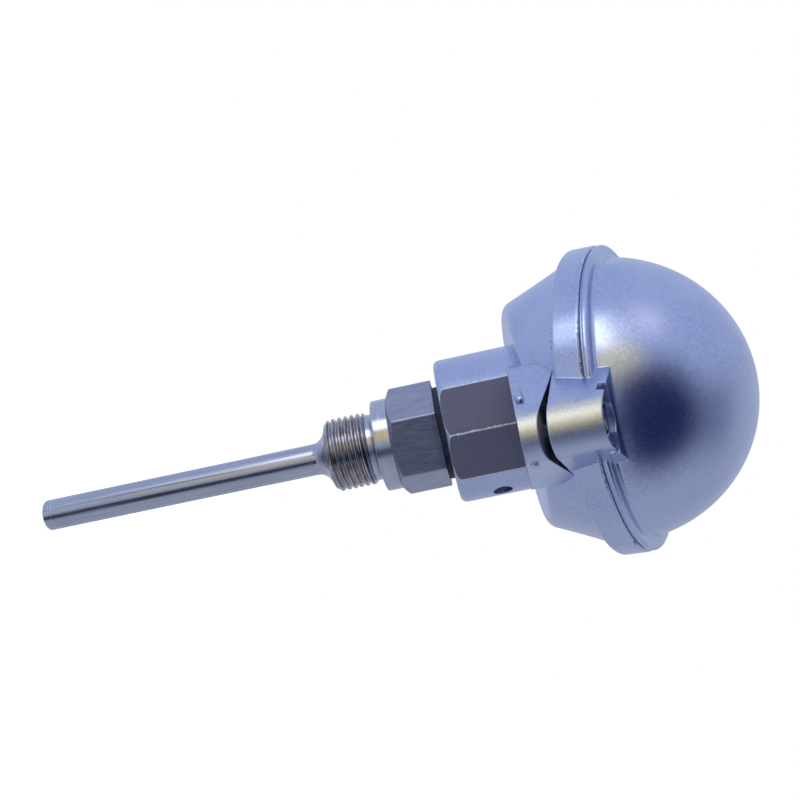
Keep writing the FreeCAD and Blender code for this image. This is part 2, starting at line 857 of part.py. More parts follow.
def terminal_screw_end():
    """Lower end of the terminal screws in the ceramic."""
    return block_top - terminal_pocket - terminal_screw_depth


def clamp_top():
    """Upper face of the terminal clamps."""
    return block_top - terminal_pocket + terminal_height


def terminal_clamps():
    """Brass saddles in the pockets of the block, each with a wire hole and a screw hole."""
    clamps = []
    for angle in terminal_places():
        clamp = terminal_box(terminal_width, terminal_length, block_top - terminal_pocket, clamp_top(), angle)
        x, y = terminal_spot(angle)
        clamp = clamp.cut(cylinder(terminal_screw_diameter / 2, block_bottom, clamp_top() + over, x, y))
        reach = terminal_length / 2 + over
        mouth = V(terminal_radius - reach, 0, wire_level())
        hole = Part.makeCylinder(wire_diameter / 2, reach, mouth, X_AXIS)
        hole.rotate(ORIGIN, Z_AXIS, angle)
        clamps.append(clamp.cut(hole))
    return Part.makeCompound(clamps)


def wire_level():
    """Height of the wires where they enter the clamps."""
    return block_top - terminal_pocket + terminal_height / 2 + wire_rise


def terminal_screws():
    """Slotted cheese-head screws of the clamps."""
    screws = []
    low = clamp_top()
    top = low + terminal_head_height
    for angle in terminal_places():
        x, y = terminal_spot(angle)
        screw = cylinder(terminal_screw_diameter / 2, terminal_screw_end(), low, x, y)
        head = cylinder(terminal_head_diameter / 2, low, top, x, y)
        slot = driver_slot(terminal_head_diameter, small_slot_width, small_slot_depth, top, angle * 1.7, x, y)
        screws.append(screw.fuse(head).cut(slot).removeSplitter())
    return Part.makeCompound(screws)


def lead_wires():
    """Four leads that rise from the sheath, bend outward and end in the clamps."""
    wires = []
    radius = wire_diameter / 2
    for angle in terminal_places():
        start = V(wire_spacing, 0, disc_top + sheath_rise)
        level = wire_level()
        end = V(terminal_radius - terminal_screw_diameter / 2 - wire_end_gap, 0, level)
        corner = V(wire_spacing, 0, level)
        first = corner - V(0, 0, wire_bend)
        last = corner + V(wire_bend, 0, 0)
        inset = wire_bend * (1 - math.sqrt(0.5))
        middle = corner + V(inset, 0, -inset)
        path = Part.Wire([
            Part.LineSegment(start, first).toShape(),
            Part.Arc(first, middle, last).toShape(),
            Part.LineSegment(last, end).toShape(),
        ])
        section = Part.Wire(Part.Circle(start, Z_AXIS, radius).toShape())
        wire = path.makePipeShell([section], True, False)
        wire.rotate(ORIGIN, Z_AXIS, angle)
        wires.append(wire)
    return Part.makeCompound(wires)


def insert_screws():
    """Slotted screws in the posts of the body, each over its spring."""
    screws = []
    seat = spring_top()
    top = seat + insert_head_height
    for side in (-1, 1):
        x = side * insert_hole_spacing / 2
        shank = cylinder(insert_screw_diameter / 2, insert_screw_end(), seat, x)
        head = cylinder(insert_head_diameter / 2, seat, top, x)
        slot = driver_slot(insert_head_diameter, wide_slot_width, wide_slot_depth, top, 15 + 25 * side, x)
        screws.append(shank.fuse(head).cut(slot).removeSplitter())
    return Part.makeCompound(screws)


def spring_top():
    """Upper end of the springs, under the screw heads."""
    return block_bottom + spring_pocket_floor + spring_length


def insert_springs():
    """Helical springs between the block and the screw heads, lofted through six-sided wire sections."""
    springs = []
    low = block_bottom + spring_pocket_floor + spring_wire / 2
    rise = spring_length - spring_wire
    section = Part.makePolygon([
        V(
            spring_mean_diameter / 2 + spring_wire / 2 * math.cos(math.radians(60 * k)),
            0,
            spring_wire / 2 * math.sin(math.radians(60 * k)),
        )
        for k in range(7)
    ])
    count = spring_turns * spring_sections
    for side in (-1, 1):
        sections = []
        for k in range(count + 1):
            turned = section.copy()
            turned.rotate(ORIGIN, Z_AXIS, 360 * k / spring_sections)
            turned.translate(V(side * insert_hole_spacing / 2, 0, low + rise * k / count))
            sections.append(turned)
        springs.append(Part.makeLoft(sections, True, True))
    return Part.makeCompound(springs)


def earth_screw():
    """Earth screw with its washer on the floor of the head."""
    washer_top = cavity_floor + earth_washer_thickness
    head_top = washer_top + earth_head_height
    shank = earth_cylinder(earth_screw_diameter / 2, cavity_floor - earth_screw_length, washer_top)
    washer = earth_cylinder(earth_washer_diameter / 2, cavity_floor, washer_top)
    head = earth_cylinder(earth_head_diameter / 2, washer_top, head_top)
    angle = math.radians(earth_angle)
    x, y = earth_radius * math.sin(angle), earth_radius * math.cos(angle)
    slot = driver_slot(earth_head_diameter, wide_slot_width, wide_slot_depth, head_top, 0, x, y)
    return shank.fuse([washer, head]).cut(slot).removeSplitter()


def gland_body():
    """Gland body: entry thread, hexagon and the stem that carries the nut."""
    face = entry_boss_face + gland_washer_thickness
    stem = face + gland_hex_length
    radius = entry_thread_diameter / 2 - gland_thread_fit
    top = stem + gland_stem_length
    thread_tip = entry_boss_face - gland_thread_length
    body = cylinder(radius, thread_tip, face + over)
    body = body.fuse(hexagon(gland_hex, face, stem, gland_hex_turn))
    body = body.fuse(cylinder(gland_stem_diameter / 2, stem - over, top))
    holes = [
        cylinder(gland_bore / 2, thread_tip - over, top + over),
        cylinder(gland_seal_radius(), stem + gland_seal_seat, top + over),
    ]
    return on_entry(body.cut(holes).removeSplitter())


def gland_seal_radius():
    """Outer radius of the seal ring in the stem of the gland."""
    return gland_stem_diameter / 2 - gland_stem_wall


def gland_washer():
    """Flat washer between gland and boss."""
    inner = entry_thread_diameter / 2
    top = entry_boss_face + gland_washer_thickness
    ring = cylinder(inner + gland_washer_width, entry_boss_face, top)
    return on_entry(ring.cut(cylinder(inner, entry_boss_face - over, top + over)))


def gland_seal():
    """Rubber ring that grips the cable."""
    bottom = entry_boss_face + gland_washer_thickness + gland_hex_length + gland_seal_seat
    top = bottom + gland_seal_length
    ring = cylinder(gland_seal_radius(), bottom, top)
    return on_entry(ring.cut(cylinder(gland_seal_bore / 2, bottom - over, top + over)))


def gland_nut():
    """Domed hexagon nut of the gland."""
    bottom = entry_boss_face + gland_washer_thickness + gland_hex_length + gland_nut_gap
    top = bottom + gland_nut_length
    nut = hexagon(gland_hex, bottom, top, gland_hex_turn)
    corner = gland_hex / 2 / math.cos(math.radians(30))
    mouth = gland_nut_mouth / 2
    dome = revolve([
        (0, bottom),
        (corner - over, bottom),
        (corner, bottom + gland_nut_edge),
        (corner, bottom + gland_nut_length / 2),
        ("arc", (corner - gland_nut_shoulder, top - gland_nut_shoulder), (mouth + gland_nut_lip, top)),
        (0, top),
    ])
    nut = nut.common(dome)
    stem_top = bottom - gland_nut_gap + gland_stem_length
    inner = gland_stem_diameter / 2 + gland_nut_fit
    seal_top = bottom - gland_nut_gap + gland_seal_seat + gland_seal_length
    holes = [
        cylinder(inner, bottom - over, stem_top + gland_end_gap),
        cylinder(gland_seal_radius() + gland_nut_fit, bottom, seal_top),
        cylinder(mouth, bottom - over, top + over),
    ]
    return on_entry(nut.cut(holes).removeSplitter())


PARTS = {
    "protection_tube": protection_tube,
    "tube_end_plug": tube_end_plug,
    "process_fitting": process_fitting,
    "neck_gasket": neck_gasket,
    "head_body": head_body,
    "neck_grub_screw": neck_grub_screw,
    "cover": cover,
    "cover_gasket": cover_gasket,
    "hinge_pin": hinge_pin,
    "cover_screw": cover_screw,
    "screw_retainer": screw_retainer,
    "insert_sheath": insert_sheath,
    "insert_disc": insert_disc,
    "terminal_block": terminal_block,
    "terminal_clamps": terminal_clamps,
    "terminal_screws": terminal_screws,
    "lead_wires": lead_wires,
    "insert_screws": insert_screws,
    "insert_springs": insert_springs,
    "earth_screw": earth_screw,
    "gland_body": gland_body,
    "gland_washer": gland_washer,
    "gland_seal": gland_seal,
    "gland_nut": gland_nut,
}

os.makedirs("parts", exist_ok=True)
for name, make in PARTS.items():
    shape = make()
    save(name, shape)
    solids = shape.Solids
    print(name, len(solids), round(shape.Volume, 1), shape.isValid())
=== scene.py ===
# %% [markdown]
# # A resistance thermometer with a hinged connection head
# This lesson dresses the solids of a temperature probe: a stainless tube with a pipe thread that screws
# into a vessel, and on top of it a die-cast head whose cover opens on a hinge. The solids already stand
# where they belong, in metres, with the probe along Z. What is added here is what a solid can't show well:
# the finish of each metal, the rolled thread, the turned and brushed skin, chipped paint and soft edges.

# %% Load the solids
import math

import bmesh
import bpy
import numpy as np
from mathutils import Matrix, Vector


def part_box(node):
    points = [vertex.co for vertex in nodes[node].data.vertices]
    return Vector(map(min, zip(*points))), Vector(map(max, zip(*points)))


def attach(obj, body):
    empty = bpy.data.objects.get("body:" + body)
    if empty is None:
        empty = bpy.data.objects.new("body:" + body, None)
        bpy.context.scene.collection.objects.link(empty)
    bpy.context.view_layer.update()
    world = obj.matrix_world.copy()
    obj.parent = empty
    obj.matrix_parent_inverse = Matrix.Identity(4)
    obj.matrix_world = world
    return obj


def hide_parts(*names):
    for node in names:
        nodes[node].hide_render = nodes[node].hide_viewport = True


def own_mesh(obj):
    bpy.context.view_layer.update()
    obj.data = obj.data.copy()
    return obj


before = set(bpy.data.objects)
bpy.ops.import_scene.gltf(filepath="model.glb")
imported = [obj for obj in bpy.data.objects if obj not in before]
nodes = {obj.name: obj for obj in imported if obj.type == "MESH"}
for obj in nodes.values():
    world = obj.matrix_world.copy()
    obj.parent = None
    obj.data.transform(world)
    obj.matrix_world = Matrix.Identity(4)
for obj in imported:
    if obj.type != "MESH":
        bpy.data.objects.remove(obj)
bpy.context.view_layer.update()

# %% [markdown]
# ## The view
# The photograph was taken close up, from the side of the screw lug, with the camera turned so that the
# probe lies nearly level in the picture. Its place was worked out from the outlines of the round parts,
# whose sizes are known. A camera could be aimed with a constraint, but a matrix built from three directions,
# right, up and backwards, takes the measured directions as they are.

# %% Camera
PICTURE = 800                      # the photograph is square, in pixels
SENSOR = 36.0                      # mm, so that a 36 mm lens spans as many pixels as the picture
FOCAL_PIXELS = 802.4
ROLL = math.radians(0.1)
SHIFT_RIGHT, SHIFT_DOWN = 0.5, 1.0    # pixels that the aim was moved by to meet the outlines
eye = Vector((-0.02189, -0.22870, 0.02617))
level_right = Vector((0.2140, 0.0667, 0.9745))
level_down = Vector((0.9758, -0.0607, -0.2102))
right = math.cos(ROLL) * level_right - math.sin(ROLL) * level_down
down = math.sin(ROLL) * level_right + math.cos(ROLL) * level_down
ahead = Vector((0.0452, 0.9959, -0.0780))
ahead = (ahead + SHIFT_RIGHT / PICTURE * right - SHIFT_DOWN / PICTURE * down).normalized()
right = (right - ahead * right.dot(ahead)).normalized()
down = ahead.cross(right)

lens = bpy.data.cameras.new("close_up")
lens.sensor_width = SENSOR
lens.lens = SENSOR * FOCAL_PIXELS / PICTURE
lens.clip_start = 0.005
lens.clip_end = 20.0
camera = bpy.data.objects.new("camera", lens)
camera.matrix_world = Matrix((
    (right.x, -down.x, -ahead.x, eye.x),
    (right.y, -down.y, -ahead.y, eye.y),
    (right.z, -down.z, -ahead.z, eye.z),
    (0, 0, 0, 1),
))
bpy.context.scene.collection.objects.link(camera)
bpy.context.scene.camera = camera
bpy.context.scene.view_settings.view_transform = "Standard"
print("camera at", tuple(round(c, 4) for c in eye), "lens", round(lens.lens, 2), "mm")

# %% [markdown]
# ## Colours
# A screen's colours are written as hex values, which hold a curve that suits the eye. Blender works with
# light itself, so one function takes the curve out. Linear numbers could be typed in instead, but hex
# values are what a picture viewer shows.

# %% Colours
def linear(code, alpha=1.0):
    """Linear colour of a hex value: c/12.92 below 0.04045, else ((c + 0.055)/1.055) to the power 2.4."""
    values = [int(code[k:k + 2], 16) / 255 for k in (1, 3, 5)]
    values = [c / 12.92 if c <= 0.04045 else ((c + 0.055) / 1.055) ** 2.4 for c in values]
    return (*values, alpha)


print("colour #808080 is", round(linear("#808080")[0], 4), "in linear light")

# %% [markdown]
# ## Nodes
# A material is a small graph of nodes, which could be drawn by hand in the editor. One function that adds
# any node with its settings and links lets a material be read from top to bottom like a recipe.

# %% Nodes
MM = 1000.0                                    # millimetres in a metre
SMOOTH = {"interpolation_type": "SMOOTHSTEP"}  # a Map Range that eases in and out
COLOURS = {"data_type": "RGBA", "output": 2}   # a Mix of two colours, which are its sockets 6 and 7


def add(tree, kind, inputs=(), output=0, **settings):
    """Adds a shader node and gives back one of its outputs.

    inputs are the values of its sockets in order, or a dict by a socket's name or number. Each value is
    another node's output, a hex colour, a number or a list. settings are the node's own choices.
    """
    made = tree.nodes.new("ShaderNode" + kind)
    for name, value in settings.items():
        setattr(made, name, value)
    pairs = inputs.items() if isinstance(inputs, dict) else enumerate(inputs)
    for socket, value in pairs:
        if isinstance(value, bpy.types.NodeSocket):
            tree.links.new(value, made.inputs[socket])
        elif isinstance(value, str):
            made.inputs[socket].default_value = linear(value)
        else:
            made.inputs[socket].default_value = value
    return made.outputs[output] if len(made.outputs) else None


def start(name, **constants):
    """New material, its node tree, its shader with the constants set on it, and the place on the object."""
    material = bpy.data.materials.new(name)
    material.use_nodes = True
    tree = material.node_tree
    shader = tree.nodes["Principled BSDF"]
    for socket, value in constants.items():
        shader.inputs[socket.replace("_", " ")].default_value = value
    return material, tree, shader, add(tree, "TexCoord", output="Object")


def join(tree, shader, sources):
    """Joins what was worked out, such as a colour or a roughness, to the shader's sockets by name."""
    for socket, source in sources.items():
        tree.links.new(source, shader.inputs[socket])


print("functions for materials:", add.__name__, start.__name__, join.__name__)

# %% [markdown]
# ## Patterns with a real size
# Skins of metal and paint are blotches and streaks of a known size. Noise gives both: its scale is worked
# out from millimetres, and dividing the place along one axis draws the blotches out into streaks. Faults of
# a machined or cast face lie at a known height over a plane, so a second pattern measures that height.

# %% Patterns
def mottle(tree, place, size_mm, detail=2.0, stretch=(1, 1, 1), rough=0.5):
    """Blotches about size_mm across, longer where stretch is over 1: noise of the place over the stretch."""
    moved = add(tree, "VectorMath", (place, [1.0 / s for s in stretch]), operation="MULTIPLY")
    grid = {"Vector": moved, "Scale": MM / size_mm, "Detail": detail, "Roughness": rough}
    return add(tree, "TexNoise", grid)


def plane_height(tree, place, direction, distance_mm):
    """How far a place is out of a plane, in mm: its dot product with the direction, less the distance."""
    dot = add(tree, "VectorMath", (place, direction), "Value", operation="DOT_PRODUCT")
    return add(tree, "Math", (dot, MM, -distance_mm), operation="MULTIPLY_ADD")


print("a blotch of 14 mm has the noise scale", round(MM / 14, 1))

# %% [markdown]
# ## Silver paint on a die casting
# The head is pressure die-cast aluminium under a silver paint. Flake in the paint gives a broad metallic
# sheen, and the casting under it a faint unevenness. The colour leans to blue, which is the bluish cast of
# the light painted into the silver. A clear coat over a metal would be the other way to make it, but the
# paint is thin and matt, so one metallic layer is enough.

# %% Colour of the paint
BLOTCH, FLAKE = 14.0, 0.8          # mm; real flake is far finer, and is drawn as coarse as it needs to show
DIRT_SPACING, DIRT_AREA = 5.0, 6.0    # mm between specks of dirt, and across the places that have them
DIRT_SHARE = 0.8                   # how much of the dirt's colour a speck takes on


def paint_colour(tree, place):
    """Two near blues, a painted cast of the light, in broad blotches, paler flake over them, and specks of
    dirt in some places.
    """
    broad = add(tree, "MapRange", (mottle(tree, place, BLOTCH), 0.35, 0.65), **SMOOTH)
    flake = add(tree, "MapRange", (mottle(tree, place, FLAKE), 0.35, 0.70), **SMOOTH)
    cells = add(tree, "TexVoronoi", {"Vector": place, "Scale": MM / DIRT_SPACING})
    speck = add(tree, "MapRange", (cells, 0.05, 0.03), **SMOOTH)
    where = add(tree, "MapRange", (mottle(tree, place, DIRT_AREA, 1.0), 0.52, 0.60), **SMOOTH)
    dirt = add(tree, "Math", (speck, where), operation="MULTIPLY")
    dirt = add(tree, "Math", (dirt, DIRT_SHARE), operation="MULTIPLY")
    # The blues are the light's bluish cast, painted into a silver paint.
    colour = add(tree, "Mix", {0: broad, 6: "#a4afd0", 7: "#b0bad8"}, **COLOURS)
    colour = add(tree, "Mix", {0: flake, 6: colour, 7: "#b3bdda"}, **COLOURS)
    return add(tree, "Mix", {0: dirt, 6: colour, 7: "#565e80"}, **COLOURS)


print("specks of dirt every", DIRT_SPACING, "mm")

# %% [markdown]
# ## Wear and a painted highlight on the lugs' front
# Whoever opens the cover takes hold of the lugs, so their round front is worn and duller. Its colour is
# a painted highlight: warm and pale on the left, where the window's light shines on it, and a paler
# blue-grey on the right. The mask could be painted by hand. Here it follows from the place, with an edge
# that wanders.

# %% Handled front
HANDLED_FROM, HANDLED_TO = -0.0455, -0.0500    # metres along Y, before the edge wanders
HANDLED_WANDER = 0.008                         # metres that the edge wanders
HANDLED_TOP = (0.070, 0.060)                   # metres up, where the cover's dome begins
HANDLED_BLOTCH = 4.0                           # mm
# where the painted warm highlight on the lugs' left gives way to their cool right
WARM_HIGHLIGHT_TO_COOL = (-0.0010, 0.0015)               # metres along X
DARK_GRAINS = 0.35                             # how much of the darker colour a grain takes on


# The same mask makes the front duller, which is wear, and gives it the painted highlight.
def handled_and_highlit_front(tree, place, parts):
    """1 on the lugs' front: an eased step of Y plus broad noise, times an eased step of Z."""
    blotches = mottle(tree, place, HANDLED_BLOTCH, 3.0)
    wander = add(tree, "Math", (blotches, HANDLED_WANDER, parts["Y"]), operation="MULTIPLY_ADD")
    front = add(tree, "MapRange", (wander, HANDLED_FROM, HANDLED_TO), **SMOOTH)
    level = add(tree, "MapRange", (parts["Z"], *HANDLED_TOP), **SMOOTH)
    return add(tree, "Math", (front, level), operation="MULTIPLY")


def rubbed_highlight_colour(tree, parts, grain):
    """Painted highlight: warm on the lugs' left, where the window shines, cool on their right; darker grains.
    """
    side = add(tree, "MapRange", (parts["X"], *WARM_HIGHLIGHT_TO_COOL), **SMOOTH)
    grains = add(tree, "MapRange", (grain, 0.55, 0.35), **SMOOTH)
    grains = add(tree, "Math", (grains, DARK_GRAINS), operation="MULTIPLY")
    colour = add(tree, "Mix", {0: side, 6: "#ebe6cc", 7: "#bfc8de"}, **COLOURS)
    return add(tree, "Mix", {0: grains, 6: colour, 7: "#9a9ca6"}, **COLOURS)


print("handled front between Y", HANDLED_FROM, "and", HANDLED_TO)

# %% [markdown]
# ## Chips along the cover's band
# The cover ends in a deep band whose two edges knock against things. There the paint is chipped, white at
# the fresh metal and dark where dirt has filled the chip. A shader can look for edges by itself, but then
# it finds all of them. The height over the slanted rim tells how far a place is from one of these two, and
# ragged noise decides how far the chip reaches.

# %% Chipped rims
RIM_TILT = math.radians(24.0)
RIM_CENTRE = (0.0, -3.4, 63.9)     # mm
BAND_EDGES = (6.85, 0.30)          # mm over the rim's plane, the band's upper and lower edge
CHIP_REACH = 0.65                  # mm, the longest chip
CHIP_AREA, CHIP_FILL = 5.0, 0.6    # mm across chipped stretches, and across the dirt in a chip


def rim_chips(tree, place, parts, ragged):
    """Where the cover is bare and in what colour: ragged noise times the reach, less the way to an edge."""
    axis = (0.0, -math.sin(RIM_TILT), math.cos(RIM_TILT))
    height = plane_height(tree, place, axis, sum(a * c for a, c in zip(axis, RIM_CENTRE)))
    ways = []
    for level in BAND_EDGES:
        way = add(tree, "Math", (height, level), operation="SUBTRACT")
        ways.append(add(tree, "Math", (way,), operation="ABSOLUTE"))
    way = add(tree, "Math", ways, operation="MINIMUM")
    reach = add(tree, "MapRange", (mottle(tree, place, CHIP_AREA), 0.50, 0.80), **SMOOTH)
    reach = add(tree, "Math", (reach, CHIP_REACH), operation="MULTIPLY")
    reach = add(tree, "Math", (ragged, reach), operation="MULTIPLY")
    chip = add(tree, "Math", (reach, way), operation="SUBTRACT")
    chip = add(tree, "MapRange", (chip, -0.02, 0.06), **SMOOTH)
    filled = add(tree, "MapRange", (mottle(tree, place, CHIP_FILL), 0.45, 0.55), **SMOOTH)
    return chip, add(tree, "Mix", {0: filled, 6: "#e6ebf5", 7: "#4a5068"}, **COLOURS)


print("chips up to", CHIP_REACH, "mm along the band")

# %% [markdown]
# ## Bare flats on the neck
# Four flats on the neck take a spanner. They have no paint and are dull grey metal. A mask could be painted
# by hand here too, but a flat is a plane, so a place belongs to it while it hardly stands out of it. The
# distances from the flats, from the corners between them and from the lug's underside are measured first.

# %% Spanner flats
NECK_FLAT = 19.474                 # mm from the axis to each spanner flat
FLAT_TURNS = (-20.2, 16.2)         # degrees from -Y, the two front flats; two more lie opposite
LUG_FRONT = (0.0, -55.2, 36.3)     # mm, lowest point of the screw lug's front, where its underside starts
LUG_SLANT = math.radians(4.0)      # the underside rises by this towards the neck, where the flats end
LUG_FROM, LUG_TO = -0.0175, -0.0195    # metres along Y, where the neck ends and the lug's underside starts
LEDGE_WIDTH, LEDGE_LESS = 0.5, -0.12   # mm, times the ragged noise, and taken off it


def flat_distances(tree, place):
    """How far a place is from the nearest flat, and from the nearest corner between two flats, in mm."""
    ways = []
    for turn in FLAT_TURNS + tuple(t + 180 for t in FLAT_TURNS):
        a = math.radians(turn)
        way = plane_height(tree, place, (math.sin(a), -math.cos(a), 0.0), NECK_FLAT)
        ways.append(add(tree, "Math", (way,), operation="ABSOLUTE"))
    pairs = (ways[:2], ways[2:])
    flats = [add(tree, "Math", pair, operation="MINIMUM") for pair in pairs]
    corners = [add(tree, "Math", pair, operation="MAXIMUM") for pair in pairs]
    return add(tree, "Math", flats, operation="MINIMUM"), add(tree, "Math", corners, operation="MINIMUM")


def lug_underside(tree, place, ragged):
    """How far a place is from the lug's underside, whether it is below, and the ragged ledge along it."""
    slope = (0.0, -math.sin(LUG_SLANT), math.cos(LUG_SLANT))
    rise = plane_height(tree, place, slope, sum(a * c for a, c in zip(slope, LUG_FRONT)))
    away = add(tree, "Math", (rise,), operation="ABSOLUTE")
    below = add(tree, "Math", (rise, 0.0), operation="LESS_THAN")
    ledge = add(tree, "Math", (ragged, LEDGE_WIDTH, LEDGE_LESS), operation="MULTIPLY_ADD")
    return away, below, add(tree, "Math", (ledge, away), operation="SUBTRACT")


print("flats at", NECK_FLAT, "mm from the axis")

# %% [markdown]
# ## Bright lines round the flats, partly a painted highlight
# Where bare metal meets paint it is polished to a line finer than a quarter of a millimetre: round each
# flat, in the corner between two of them, and along the lug's underside. These lines are drawn near white,
# which is also a painted highlight of the light that the edges catch. A line is a narrow band of the
# distance, so it is an eased step up times an eased step down.

# %% Lines of fresh metal
# the near white is polished metal together with a painted highlight
GLINT_LINE_SHARE = 0.85                  # how much of the bright colour a line takes on


def fresh_lines_and_glints(tree, flat, corner, inside, worn, lug, on_ledge):
    """Painted highlight on polished edges, the strongest of three lines: flats' rim, crease, lip under the
    lug.
    """
    away, below, ledge = lug
    rim = add(tree, "MapRange", (inside, 0.0, 0.008), **SMOOTH)
    off_flat = add(tree, "MapRange", (flat, 0.004, 0.012), **SMOOTH)
    crease = add(tree, "Math", (corner, worn), operation="SUBTRACT")
    crease = add(tree, "MapRange", (crease, 0.03, 0.0), **SMOOTH)
    ledge_end = add(tree, "MapRange", (ledge, 0.09, 0.03), **SMOOTH)
    off_edge = add(tree, "MapRange", (away, 0.03, 0.08), **SMOOTH)
    for mask in (off_flat, below):
        rim = add(tree, "Math", (rim, mask), operation="MULTIPLY")
    lip = on_ledge
    for mask in (ledge_end, off_edge):
        lip = add(tree, "Math", (lip, mask), operation="MULTIPLY")
    worn_edge_glint = add(tree, "Math", (rim, crease), operation="MAXIMUM")
    worn_edge_glint = add(tree, "Math", (worn_edge_glint, lip), operation="MAXIMUM")
    return add(tree, "Math", (worn_edge_glint, GLINT_LINE_SHARE), operation="MULTIPLY")


print("lines take", GLINT_LINE_SHARE, "of the bright colour")

# %% [markdown]
# ## Where the body is bare
# The bare area is the flats, a ragged creep of up to a quarter of a millimetre round them, and the ledge
# along the lug's underside. Aluminium that has lain in the air is dull grey and a little blotchy.

# %% Bare metal of the body
WORN = (0.02, 0.24)                # mm, the least and the most that the paint has gone from a corner


def bare_flats(tree, place, parts, ragged):
    """Where the body is bare: the worn width less the way to a flat, or on the ledge. And in what colour."""
    flat, corner = flat_distances(tree, place)
    lug = lug_underside(tree, place, ragged)
    away, below, ledge = lug
    worn = add(tree, "MapRange", (ragged, 0.35, 0.70, *WORN), **SMOOTH)
    creep = add(tree, "Math", (worn, 1.1, 0.02), operation="MULTIPLY_ADD")
    inside = add(tree, "Math", (creep, flat), operation="SUBTRACT")
    forward = add(tree, "MapRange", (parts["Y"], LUG_FROM, LUG_TO), **SMOOTH)
    on_ledge = add(tree, "MapRange", (ledge, 0.0, 0.02), **SMOOTH)
    on_ledge = add(tree, "Math", (on_ledge, forward), operation="MULTIPLY")
    bare = add(tree, "MapRange", (inside, 0.0, 0.012), **SMOOTH)
    bare = add(tree, "Math", (bare, below), operation="MULTIPLY")
    bare = add(tree, "Math", (bare, on_ledge), operation="MAXIMUM")
    worn_edge_glint = fresh_lines_and_glints(tree, flat, corner, inside, worn, lug, on_ledge)
    blotch = add(tree, "MapRange", (mottle(tree, place, 0.5, 4.0, rough=0.8), 0.35, 0.80), **SMOOTH)
    colour = add(tree, "Mix", {0: blotch, 6: "#686a80", 7: "#7c7e94"}, **COLOURS)
    # The lines are polished metal drawn near white, a painted highlight along the edges.
    return bare, add(tree, "Mix", {0: worn_edge_glint, 6: colour, 7: "#f4f4fa"}, **COLOURS)


print("paint worn off by", WORN, "mm")

# %% [markdown]
# ## The two painted castings
# Cover and body share the paint and differ in their wear. Inside, where the spray only drifts in, the paint
# is duller. A place is inside when its face looks towards the middle of the head. The casting's skin is
# uneven over some millimetres, and its corners are round, which a bevel in the shading gives at no cost.

# %% Paint
INSIDE_DEPTH = -0.004              # metres, how far a face has to look inwards to count as inside
CORNER = 0.45                      # mm, radius of the casting's corners
UNEVEN, UNEVEN_DEPTH = 6.0, 0.035  # mm, the casting's own waves
GRAIN, GRAIN_DEPTH = 0.5, 0.0035   # mm, the spray's grain, which is finer and drawn coarse enough to show
RAGGED = 0.8                       # mm, the notches of a worn edge
# the colour that the front takes on here is the lugs' painted highlight
RUBBED_HIGHLIGHT_SHARE = 0.8                 # how much of the rubbed colour the handled front takes on
ROUGHNESS = (0.20, 0.28)           # of sound paint
DULL_INSIDE, DULL_HANDLED, DULL_BARE = 0.26, 0.24, 0.45    # what each adds to the roughness
METAL_INSIDE, METAL_BARE = -0.45, -0.95                    # what each takes from the metallic share


def looks_inwards(tree, place):
    """1 inside the head: there the face's normal dot the way from the rim's centre is negative."""
    way = add(tree, "VectorMath", (place, [c / MM for c in RIM_CENTRE]), operation="SUBTRACT")
    facing = add(tree, "TexCoord", output="Normal")
    dot = add(tree, "VectorMath", (way, facing), "Value", operation="DOT_PRODUCT")
    return add(tree, "MapRange", (dot, 0.0, INSIDE_DEPTH), **SMOOTH)


def painted(name, wear):
    """Silver paint. wear is the function that says where this casting is bare, and in what colour."""
    material, tree, shader, place = start(name)
    parts = add(tree, "SeparateXYZ", (place,)).node.outputs
    grain = mottle(tree, place, GRAIN, 3.0, rough=0.65)
    ragged = mottle(tree, place, RAGGED, 4.0, rough=0.7)
    handled_and_highlit = handled_and_highlit_front(tree, place, parts)
    inner = looks_inwards(tree, place)
    bare, bare_colour = wear(tree, place, parts, ragged)

    # The worn front takes the painted highlight over the paint, and the bare places take their own colour.
    share = add(tree, "Math", (handled_and_highlit, RUBBED_HIGHLIGHT_SHARE), operation="MULTIPLY")
    rubbed_and_highlit = rubbed_highlight_colour(tree, parts, grain)
    colour = add(tree, "Mix", {0: share, 6: paint_colour(tree, place), 7: rubbed_and_highlit}, **COLOURS)
    colour = add(tree, "Mix", {0: bare, 6: colour, 7: bare_colour}, **COLOURS)
    rough = add(tree, "MapRange", (grain, 0.2, 0.8, *ROUGHNESS), **SMOOTH)
    for mask, more in ((inner, DULL_INSIDE), (handled_and_highlit, DULL_HANDLED), (bare, DULL_BARE)):
        rough = add(tree, "Math", (mask, more, rough), operation="MULTIPLY_ADD")
    metal_inside = add(tree, "Math", (inner, METAL_INSIDE, 1.0), operation="MULTIPLY_ADD")
    metal = add(tree, "Math", (bare, METAL_BARE, 1.0), operation="MULTIPLY_ADD")
    metal = add(tree, "Math", (metal_inside, metal), operation="MULTIPLY")
    normal = add(tree, "Bevel", {"Radius": CORNER / MM}, samples=6)
    for height, depth in ((mottle(tree, place, UNEVEN), UNEVEN_DEPTH), (grain, GRAIN_DEPTH)):
        bumps = {"Height": height, "Strength": 1.0, "Distance": depth / MM, "Normal": normal}
        normal = add(tree, "Bump", bumps)
    join(tree, shader, {"Base Color": colour, "Roughness": rough, "Metallic": metal, "Normal": normal})
    return material


# Sprayed silver paint: a soft metallic sheen without a mirror, uneven like the casting below it.
paint_cover = painted("silver_paint_on_die_cast_cover", rim_chips)
paint_body = painted("silver_paint_on_die_cast_body", bare_flats)
print("paint:", paint_cover.name, paint_body.name)

# %% [markdown]
# ## Stainless steel, turned, drawn and brushed
# The fitting and the tube are stainless steel. The lathe leaves rings a fraction of a millimetre apart on
# the turned faces, the drawn tube has faint lines along its length, and the hexagon keeps the streaks of
# the rolled bar that it was cut from. An anisotropic shader could spread the light, but only noise that is
# drawn out along the lines shows the single scratches, so they carry colour, roughness and bump alike.

